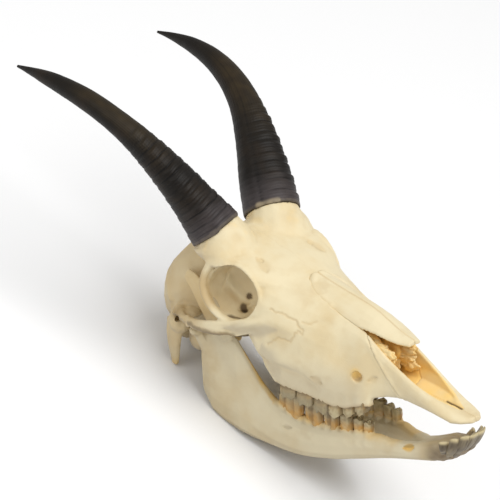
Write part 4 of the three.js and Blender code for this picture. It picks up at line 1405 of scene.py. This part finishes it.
@dataclass
class ToothRow:
    """A row of cheek teeth in one jaw, with ribbed pillars and worn crescent crowns."""

    kind: ToothKind
    front: float
    sizes: tuple[tuple[float, int], ...]
    width: float
    premolar_width: float
    root: float = 7.0
    premolars: int = 3
    narrow_teeth: int = 2
    swelling: Knots = ((0, 0.66), (0.3, 0.9), (0.5, 1.0), (0.75, 1.04), (1, 0.97))
    around: int = 56
    along: int = 26

    def teeth(self) -> list[CheekTooth]:
        """Give the teeth from front to back.

        Returns:
            The teeth.
        """
        starts = itertools.accumulate((length for length, _ in self.sizes), initial=0.0)
        return [CheekTooth(self.front - start - length / 2, length, lobes, i + 1)
                for i, (start, (length, lobes)) in enumerate(zip(starts, self.sizes))]

    def limits(self, x: Array | float) -> tuple[Array, Array, Array]:
        """Give the row's middle, gum line and bite line at a place along the jaw.

        Args:
            x: Where along the jaw.

        Returns:
            A distance out and two heights.
        """
        if self.kind is ToothKind.UPPER:
            return UPPER_GUM_OUT(x) - self.width / 2 + 0.3, UPPER_GUM(x), BITE(x) + UPPER_WEAR(x)
        return JAW_INNER(x) + self.width / 2 + 0.8, JAW_TOP(x), BITE(x) + LOWER_WEAR(x)

    def skin(self, tooth: CheekTooth, side: Side, turn: Array, way: Array) -> Array:
        """Give a tooth's skin.

        Args:
            tooth: The tooth's place.
            side: The half it stands in.
            turn: Turn about its axis, 0 to 1.
            way: Way from root (0) over the crown's edge (0.8) to the middle of the bite (1).

        Returns:
            Skull points.
        """
        middle, gum, bite = (float(v) for v in self.limits(tooth.x))
        point = float(self.kind.value)
        wall, crown = 0.8, 0.2
        rising, inward = np.clip(way / wall, 0.0, 1.0), np.clip((way - wall) / crown, 0.0, 1.0)
        angle = 2.0 * np.pi * turn
        cos, sin = np.cos(angle), np.sin(angle)
        upper = self.kind is ToothKind.UPPER
        ahead, across = squared_off(cos, 0.45 if upper else 0.62), squared_off(sin, 0.6)
        swell = Profile(self.swelling)(rising)
        lobe = np.cos(np.pi * tooth.lobes * ahead) * (-1.0 if tooth.lobes % 2 == 0 else 1.0)
        outer = np.clip(sin * 3.0, 0.0, 1.0)
        ribs = 1.4 * np.clip(-lobe, 0.0, 1.0) ** 3 + 0.7 * np.clip(lobe, 0.0, 1.0) ** 4
        pillars = -1.0 * np.clip(-lobe, 0.0, 1.0) ** 2
        bulge = ribs if upper else 1.6 * pillars
        relief = (outer * bulge + np.clip(-sin * 3.0, 0.0, 1.0) * pillars) * blend_step(0.1, 0.5, rising)
        wide = self.premolar_width if tooth.number <= self.narrow_teeth else self.width
        shrink = 1.0 - inward ** 0.8
        half = 0.5 * tooth.length * (1.0 + 0.03 * math.sin(3.1 * tooth.number))
        x = tooth.x + half * swell * ahead * shrink
        out = middle + (0.5 * wide * swell * across + relief * np.sign(across)) * shrink
        peak = 1.0 - 2.0 * np.abs(np.mod(0.5 * tooth.lobes * (ahead + 1.0), 1.0) - 0.5) * 2.0
        sharp = 0.6 if tooth.lobes > 1 else 0.35
        cheek_side = 0.3 + 0.7 * np.clip(across, 0.0, 1.0)
        cusp = (sharp * peak + 0.7 * lobe) * cheek_side * (1.0 + 0.3 * math.sin(7.0 * tooth.number))
        edge = bite + point * (cusp - 0.4) - point * 1.6 * np.sin(np.pi * np.clip(inward * 1.6, 0.0, 1.0))
        edge = edge - across * (1.5 if upper else 0.5)
        start = gum - point * self.root
        height = start + (edge - start) * rising
        lean = 0.6 * math.sin(5.0 * tooth.number + (0.0 if side is Side.LEFT else 1.0))
        x = x + lean * (rising - 0.5)
        spots = np.stack([x, out * side.value, height], axis=-1)
        return spots + 0.35 * shrink[:, None] * jitter(spots, 2.4, 35)

    def paint(self, piece: Piece, tooth: CheekTooth, side: Side) -> None:
        """Stain a tooth: brown in the grooves and at the gum, grey on the crown, and painted shade between
        the teeth, at the gum line and in the bite's hollows, with the inner faces kept paler as painted
        light.

        Args:
            piece: The tooth.
            tooth: Its place.
            side: The half it stands in.
        """
        clay = Clay(piece)
        _, gum, bite = (float(v) for v in self.limits(tooth.x))
        level = np.clip((clay.points[:, 2] - gum) / (bite - gum), 0.0, 1.2)
        patch, mottle = clay.patches(3.0, 30 + tooth.number), clay.patches(1.4, 70 + tooth.number)
        hollow = clay.hollows(1, 0.10)
        upper = self.kind is ToothKind.UPPER
        ends = np.abs(clay.points[:, 0] - tooth.x) / (0.5 * tooth.length)
        clay.stain(Stain.TAN, (0.5 + 0.4 * patch) * np.maximum(hollow, blend_step(0.7, 0.95, ends)))
        clay.stain(Stain.TAN, 0.6 * blend_step(0.4, 0.85, mottle))
        # painted shade in the hollows and between the teeth
        clay.stain(Stain.DARK, 0.27 * np.maximum(hollow, blend_step(0.86, 1.0, ends)))
        molar = tooth.number > self.premolars
        if upper:
            clay.stain(Stain.ORANGE, (1.0 - blend_step(0.0, 0.6, level)) * patch * 0.35)
            # painted shade at the gum line
            clay.stain(Stain.DARK, 0.55 * (1.0 - blend_step(-0.1, 0.16, level)))
            # grey on the crowns, strongest on the molars: their dull tone, and painted shade under the
            # cheek's overhang
            clay.stain(Stain.GREY, (0.95 if molar else 0.4) * (0.6 + 0.4 * patch))
        else:
            high = 0.9 if tooth.number > 4 else 0.65
            clay.stain(Stain.ORANGE, (1.0 - blend_step(0.1, high, level)) * (0.35 + 0.65 * patch))
            dull = 0.8 if molar else 0.4
            clay.stain(Stain.GREY, dull * blend_step(0.0, 0.5, level) * (0.4 + 0.6 * patch))
        # painted shade in the hollows of the biting face
        facing = clay.normals[:, 2] * self.kind.value
        clay.stain(Stain.DARK, 0.3 * hollow * blend_step(0.3, 0.8, facing))
        # painted light: the inner faces kept paler against their shade
        inner = blend_step(0.2, 0.8, -clay.normals[:, 1] * side.value)
        clay.stains *= 1.0 - 0.6 * inner[:, None]
        clay.write()

    def build(self, palette: Palette) -> None:
        """Make the row in both halves of the jaw.

        Args:
            palette: The skull's materials.
        """
        for side, tooth in itertools.product(Side, self.teeth()):
            name = f"{self.kind.name.lower()}_tooth_{side.label}_{tooth.number}"
            piece = wrap_grid(name, self.around, self.along, partial(self.skin, tooth, side))
            self.paint(piece, tooth, side)
            palette.dress(piece, ENAMEL)


UPPER_ROW = ToothRow(
    ToothKind.UPPER, front=-79.5, sizes=((8.5, 1), (9.5, 1), (10.5, 1), (13, 2), (14.5, 2), (15, 2)),
    width=13.0, premolar_width=10.0,
)
LOWER_ROW = ToothRow(
    ToothKind.LOWER, front=-82.0, sizes=((7, 1), (9, 1), (11, 1), (13, 2), (15.5, 2), (22, 3)),
    width=8.0, premolar_width=7.0,
)


@dataclass(frozen=True)
class IncisorPlace:
    """Foot, tip and crown width of an incisor."""

    foot: Point
    tip: Point
    width: float


@dataclass
class Incisors:
    """The fan of eight front teeth in the lower jaw."""

    places: tuple[IncisorPlace, ...] = (
        IncisorPlace((-12, 3, -18.5), (0, 3.5, -3.5), 6.8),
        IncisorPlace((-13, 7.5, -18.5), (-2.5, 9.5, -4), 6.6),
        IncisorPlace((-16, 11, -18.5), (-8, 14, -6), 6.2),
        IncisorPlace((-20.5, 12.5, -18), (-17, 16, -9.5), 5.8),
    )
    thickness: float = 3.4
    fan: float = 0.12
    widths: Knots = ((-0.35, 0.5), (-0.1, 0.9), (0.25, 1.1), (0.65, 1.28), (0.93, 1.34), (1, 1.22))
    depths: Knots = ((-0.35, 0.4), (-0.1, 1), (0.25, 1.2), (0.65, 1), (0.93, 0.62), (1, 0.2))
    around: int = 32
    along: int = 30

    def skin(self, spot: IncisorPlace, side: Side, turn: Array, way: Array) -> Array:
        """Give an incisor's skin.

        Args:
            spot: The tooth's place.
            side: The half it stands in.
            turn: Turn about its axis, 0 to 1.
            way: Way from root to tip, 0 to 1.

        Returns:
            Skull points.
        """
        foot, tip = on_side((spot.foot, spot.tip), side)
        ahead = (tip - foot) / np.linalg.norm(tip - foot)
        across = np.array([-self.fan * (spot.foot[1] - self.places[0].foot[1]), side.value, 0.0])
        across = across - ahead * float(across @ ahead)
        across = across / np.linalg.norm(across)
        raised = np.cross(ahead, across) * side.value
        t = -0.35 + 1.35 * way
        wide, thick = Profile(self.widths)(t), Profile(self.depths)(t)
        angle = 2.0 * np.pi * turn
        cos, sin = squared_off(np.cos(angle), 0.7), squared_off(np.sin(angle), 0.8)
        curl = 1.0 * np.sin(np.pi * np.clip(t, 0.0, 1.0))
        round_off = 0.10 * np.clip(t - 0.6, 0.0, 1.0) / 0.4 * cos ** 2
        spots = foot + (t - round_off)[:, None] * (tip - foot)
        spots = spots + across * (0.5 * spot.width * wide * cos)[:, None]
        return spots + raised * (0.5 * self.thickness * thick * sin - curl)[:, None]

    def paint(self, piece: Piece, number: int, side: Side) -> None:
        """Stain an incisor: brown streaks, painted shade on the downward faces, darker towards the root, and
        a pale edge.

        Args:
            piece: The tooth.
            number: Its number from the middle.
            side: The half it stands in.
        """
        clay = Clay(piece)
        foot, tip = on_side((self.places[number - 1].foot, self.places[number - 1].tip), side)
        level = (clay.points - foot) @ (tip - foot) / float((tip - foot) @ (tip - foot))
        patch, streaks = clay.patches(3.0, 50 + number), clay.patches(2.2, 55 + number, STREAK)
        # painted shade on the downward faces
        below = blend_step(0.8, 0.3, clay.normals[:, 2])
        for kind, start, end, share in (
            (Stain.GREY, 0.8, 0.95, 0.2 + 0.4 * below + 0.2 * patch),
            (Stain.TAN, 0.6, 0.97, 0.3 + 0.6 * streaks),
            (Stain.DARK, 0.75, 0.95, below * (0.32 + 0.55 * streaks)),
            (Stain.DARK, 0.2, 0.8, 0.35 * streaks),
        ):
            clay.stain(kind, share * (1.0 - blend_step(start, end, level)))
        clay.write()

    def build(self, palette: Palette) -> None:
        """Make the eight incisors.

        Args:
            palette: The skull's materials.
        """
        for side, (number, spot) in itertools.product(Side, enumerate(self.places, 1)):
            name = f"incisor_{side.label}_{number}"
            piece = wrap_grid(name, self.around, self.along, partial(self.skin, spot, side))
            self.paint(piece, number, side)
            palette.dress(piece, ENAMEL)


@dataclass
class NoseScrolls:
    """The lobed thin bones on the side walls of the nose."""

    lobes: tuple[tuple[Point, Point], ...] = (
        ((-80, 11, 44), (11, 3.5, 5)), ((-71, 11, 38.5), (9, 3.5, 5.5)),
        ((-76, 10.5, 33), (12, 4, 5)), ((-69, 11, 28), (8, 3, 4.5)),
        ((-88, 5, 29), (12, 5.5, 8)),
    )
    around: int = 60
    along: int = 44

    def skin(self, number: int, side: Side, turn: Array, way: Array) -> Array:
        """Give a lobe's skin.

        Args:
            number: The lobe's place in the list.
            side: The half it sits in.
            turn: Turn about its long axis, 0 to 1.
            way: Way from its rear end to its front end, 0 to 1.

        Returns:
            Skull points.
        """
        centre, half = self.lobes[number]
        angle, rise = 2.0 * np.pi * turn, np.pi * way
        ball = np.stack([-np.cos(rise), np.sin(rise) * np.cos(angle), np.sin(rise) * np.sin(angle)], axis=-1)
        lumps = 1.0 + 0.30 * grain(ball * 10.0, 5.0, 81 + number)
        lumps = lumps + 0.18 * grain(ball * 10.0, 2.4, 91 + number)
        spots = np.array(centre) + ball * lumps[:, None] * np.array(half)
        return spots * np.array([1.0, side.value, 1.0])

    def build(self, palette: Palette) -> None:
        """Make the lobes on both sides.

        Args:
            palette: The skull's materials.
        """
        for side, number in itertools.product(Side, range(len(self.lobes))):
            name = f"nose_scroll_{side.label}_{number + 1}"
            piece = wrap_grid(name, self.around, self.along, partial(self.skin, number, side))
            clay = Clay(piece)
            clay.stain(Stain.ORANGE, 0.6 + 0.25 * grain(clay.points, 4.0, 85))
            # painted shade in the hollows between the lumps
            clay.stain(Stain.TAN, 0.25 * clay.hollows(2, 0.05))
            clay.write()
            palette.dress(piece, BONE)


@dataclass
class HornSheath:
    """A curved black sheath with growth rings on its lower part."""

    side: Side
    path: Path = ((-211.6, 29.2, 112.1), (-247.4, 50.1, 171.5), (-272, 75.2, 212.4), (-365.1, 71.1, 222.5))
    radii: Knots = ((0, 20.6), (0.15, 17.2), (0.3, 13.9), (0.5, 10.2), (0.7, 8.3), (0.85, 5.9), (1, 1))
    flattening: Knots = ((0, 0.03), (0.15, 0.11), (0.5, 0.11), (0.8, 0.04), (1, 0))
    ring_end: float = 0.5
    ring_places: tuple[float, ...] = (
        0.035, 0.075, 0.105, 0.15, 0.185, 0.235, 0.27, 0.32, 0.36, 0.405, 0.45,
    )
    ring_height: float = 0.75
    ring_widths: tuple[float, float] = (0.015, 0.011)
    ring_shares: tuple[float, float] = (1.0, 0.6)
    chip: Path = ((-209, 12, 121), (-203, 16, 123), (-198, 22, 124))
    around: int = 112
    along: int = 340

    def frame(self, t: Array) -> tuple[Array, Array, Array]:
        """Give the axis of the horn and its two cross directions.

        Args:
            t: Ways along the horn, 0 to 1.

        Returns:
            Points on the axis, and unit vectors along the long and short widths.
        """
        a, b, c, d = on_side(self.path, self.side)
        s = t[:, None]
        spot = a * (1 - s) ** 3 + 3 * b * s * (1 - s) ** 2 + 3 * c * s ** 2 * (1 - s) + d * s ** 3
        ahead = 3 * ((b - a) * (1 - s) ** 2 + 2 * (c - b) * s * (1 - s) + (d - c) * s ** 2)
        ahead /= np.linalg.norm(ahead, axis=1, keepdims=True)
        long = np.tile(np.array([1.0, self.side.value, 0.0]) / math.sqrt(2.0), (len(t), 1))
        long -= ahead * np.sum(long * ahead, axis=1, keepdims=True)
        long /= np.linalg.norm(long, axis=1, keepdims=True)
        return spot, long, np.cross(ahead, long)

    def rings(self, t: Array, angle: Array) -> Array:
        """Give the relief of the growth rings: a slow rise to each ring and a sharp fall behind it.

        Args:
            t: Ways along the horn, 0 to 1.
            angle: Turns about its axis in radians.

        Returns:
            The height of the relief.
        """
        front = 0.55 + 0.45 * np.cos(angle - 0.35)
        wave = 0.0035 * np.sin(2.0 * angle + 1.0) + 0.0012 * np.sin(7.0 * angle)
        total = np.zeros_like(t)
        for i, place in enumerate(self.ring_places):
            off = (t + wave - place) / self.ring_widths[i % 2]
            lip = np.where(off < 0, np.exp(-(off * 1.1) ** 2), np.exp(-(off * 2.2) ** 2))
            total += lip * self.ring_shares[i % 2]
            total -= 0.75 * np.exp(-(((t + 0.7 * wave - place - 0.0125) / 0.0042) ** 2))
        fine = 0.22 * np.sin(2.0 * np.pi * (t + wave) / 0.0115)
        fade = 1.0 - blend_step(0.36, self.ring_end, t)
        return (total - 0.3 + fine) * fade * front * self.ring_height

    def skin(self, turn: Array, way: Array) -> Array:
        """Give the sheath's skin.

        Args:
            turn: Turn about the axis, 0 to 1.
            way: Way from inside the rim (0), over it (0.03), to the tip (1).

        Returns:
            Skull points.
        """
        lip = 0.03
        t = np.clip((way - lip) / (1.0 - lip), 0.0, 1.0) ** 1.05
        angle = 2.0 * np.pi * turn
        spot, long, short = self.frame(t)
        radius, flat = Profile(self.radii)(t), Profile(self.flattening)(t)
        inside = np.clip(way / lip, 0.0, 1.0)
        rim = np.sqrt(np.clip(t / 0.006, 0.0, 1.0)) * 0.04 + 0.96
        scale = np.where(way < lip, 0.9 + 0.06 * inside, rim)
        bare = spot + long * (radius * scale * (1 + flat) * np.cos(angle))[:, None]
        bare = bare + short * (radius * scale * (1 - flat) * np.sin(angle))[:, None]
        fade = blend_step(0.0, 0.02, t) * (1.0 - blend_step(0.93, 1.0, t))
        furrow = -0.5 * np.exp(-((np.sin((angle - 2.2) / 2.0) / 0.07) ** 2))
        furrow += -0.35 * np.exp(-((np.sin((angle + 1.9) / 2.0) / 0.06) ** 2))
        streak = 0.15 * np.sin(37.0 * angle + 3.0 * np.sin(9.0 * t)) * blend_step(0.15, 0.5, t)
        swell = self.rings(t, angle) + (furrow + streak) * radius / 14.0
        swell = swell + 0.12 * grain(bare, 5.0, 41)
        push = swell * fade / np.maximum(radius, 1.0)
        ragged = 1.3 * grain(np.stack([np.cos(angle), np.sin(angle), 0 * angle], axis=1) * 20.6, 7.0, 44)
        drop = (0.4 + ragged) * (1.0 - blend_step(0.0, 0.02, t)) * blend_step(0.4, 1.0, inside)
        ahead = np.cross(long, short)
        return bare + (bare - spot) * push[:, None] - ahead * np.clip(drop, 0.0, 1.7)[:, None]

    def paint(self, piece: Piece) -> None:
        """Lay the dusty base, a painted brown sheen on the upward faces and painted shade in the ring
        grooves.

        Args:
            piece: The sheath.
        """
        clay = Clay(piece)
        steps = np.linspace(0, 1, 400)[::8]
        axis = self.frame(steps)[0]
        t = steps[np.argmin(((clay.points[:, None, :] - axis) ** 2).sum(-1), axis=1)]
        patch, fray = clay.patches(5.0, 61), clay.patches(2.2, 63)
        clay.stain(Stain.GREY, (1.0 - blend_step(0.03, 0.17, t + 0.06 * patch)) * (0.45 + 0.55 * patch))
        painted_sheen_band = blend_step(0.2, 0.5, t) * (1.0 - blend_step(0.6, 0.85, t))
        # painted sheen: tan on the faces turned up to the light
        up = blend_step(0.0, 0.8, clay.normals[:, 2] * 0.7 + clay.normals[:, 0] * 0.5)
        clay.stain(Stain.TAN, (0.2 + 0.6 * patch) * painted_sheen_band * up)
        clay.stain(Stain.ORANGE, 0.4 * (1.0 - blend_step(0.0, 0.035, t + 0.03 * fray)) * fray)
        if self.side is Side.LEFT:
            clay.tint(Stain.ORANGE, on_side(self.chip, self.side), 3.2, 0.3 + 0.4 * fray)
        # painted shade in the ring grooves
        clay.stain(Stain.DARK, 0.85 * clay.hollows(1, 0.05))
        clay.write()

    def build(self, palette: Palette) -> None:
        """Make the sheath.

        Args:
            palette: The skull's materials.
        """
        piece = wrap_grid(f"sheath_{self.side.label}", self.around, self.along, self.skin)
        self.paint(piece)
        palette.dress(piece, KERATIN, f"horn_{self.side.label}")


@dataclass(frozen=True)
class Lamp:
    """A soft square light: place and width in metres, power in watts."""

    name: str
    place: Point
    size: float
    power: float


@dataclass
class Studio:
    """Pale floor, soft lights and the camera."""

    eye: Point = (0.7595, -1.1879, 1.1220)
    aim: Point = (-0.0209, 0.0136, 0.09)
    roll: float = 23.04
    lens: float = 174.03
    sensor: float = 36.0
    near_clip: float = 0.05
    floor_size: float = 12.0
    floor_drop: float = 0.0002
    floor_roughness: float = 0.9
    floor_gloss: float = 0.1
    floor_colour: Colour = (0.94, 0.94, 0.94)
    sky: float = 0.48
    middle: Point = (0.03, 0, 0.09)
    lamps: tuple[Lamp, ...] = (
        Lamp("key_light", (0.75, 0.05, 2.5), 1.9, 48.0), Lamp("side_light", (-0.6, -1.6, 1.5), 1.0, 7.0),
    )

    def camera(self) -> None:
        """Set the camera where the picture was taken from."""
        bpy.ops.object.camera_add()
        camera = bpy.context.active_object
        camera.name = "camera"
        camera.data.sensor_width = self.sensor
        camera.data.lens = self.lens
        camera.data.clip_start = self.near_clip
        level = (Vector(self.aim) - Vector(self.eye)).to_track_quat("-Z", "Y").to_matrix().to_4x4()
        tilt = Matrix.Rotation(math.radians(self.roll), 4, "Z")
        camera.matrix_world = Matrix.Translation(Vector(self.eye)) @ level @ tilt
        bpy.context.scene.camera = camera

    def light(self, lamp: Lamp) -> None:
        """Add a light that points at the skull.

        Args:
            lamp: The light.
        """
        bpy.ops.object.light_add(type="AREA", location=lamp.place)
        light = bpy.context.active_object
        light.name = lamp.name
        light.data.size = lamp.size
        light.data.energy = lamp.power
        way = Vector(self.middle) - Vector(lamp.place)
        light.rotation_euler = way.to_track_quat("-Z", "Y").to_euler()

    def build(self) -> None:
        """Lay the floor, set the sky and the lights."""
        bpy.ops.mesh.primitive_plane_add(size=self.floor_size, location=(0, 0, -self.floor_drop))
        floor = bpy.context.active_object
        floor.name = "floor"
        paper = bpy.data.materials.new("pale_floor")
        paper.use_nodes = True
        shader = paper.node_tree.nodes["Principled BSDF"]
        shader.inputs["Base Color"].default_value = (*self.floor_colour, 1.0)
        shader.inputs["Roughness"].default_value = self.floor_roughness
        shader.inputs["Specular IOR Level"].default_value = self.floor_gloss
        floor.data.materials.append(paper)
        world = bpy.data.worlds.new("studio")
        world.use_nodes = True
        sky = world.node_tree.nodes["Background"]
        sky.inputs["Color"].default_value = (1.0, 1.0, 1.0, 1.0)
        sky.inputs["Strength"].default_value = self.sky
        bpy.context.scene.world = world
        for lamp in self.lamps:
            self.light(lamp)
        scene = bpy.context.scene
        scene.view_settings.view_transform = "Standard"
        scene.view_settings.look = "None"


def bones(nodes: dict[str, Piece]) -> list[Bone]:
    """List the bones to carve.

    Args:
        nodes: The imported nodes.

    Returns:
        The bones, from the largest down.
    """
    made: list[Bone] = [Cranium("cranium", nodes["cranium"], BONE)]
    for side in Side:
        for kind, name, finish, sizes in (
            (JawHalf, "mandible", JAW_BONE, {"voxel": 0.6, "thick": 7.0}),
            (NasalBone, "nasal", BONE, {"voxel": 0.5, "smoothing": 30, "thick": 3.0, "thin": 0.5}),
            (NoseTip, "premaxilla", BONE, {"voxel": 0.5, "smoothing": 30, "thick": 4.0, "thin": 1.0}),
        ):
            node = f"{name}_{side.label}"
            made.append(kind(node, nodes[node], finish, side=side, **sizes))
    return made


def main() -> None:
    """Build the skull's pieces, the studio and the camera."""
    logging.basicConfig(level=logging.INFO, format="%(name)s: %(message)s")
    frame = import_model()
    palette = Palette(weathering_group())
    for bone in bones(frame["nodes"]):
        bone.build(palette)
    for side in Side:
        HornSheath(side).build(palette)
    UPPER_ROW.build(palette)
    LOWER_ROW.build(palette)
    Incisors().build(palette)
    NoseScrolls().build(palette)
    studio = Studio()
    studio.build()
    studio.camera()


if __name__ == "__main__":
    main()
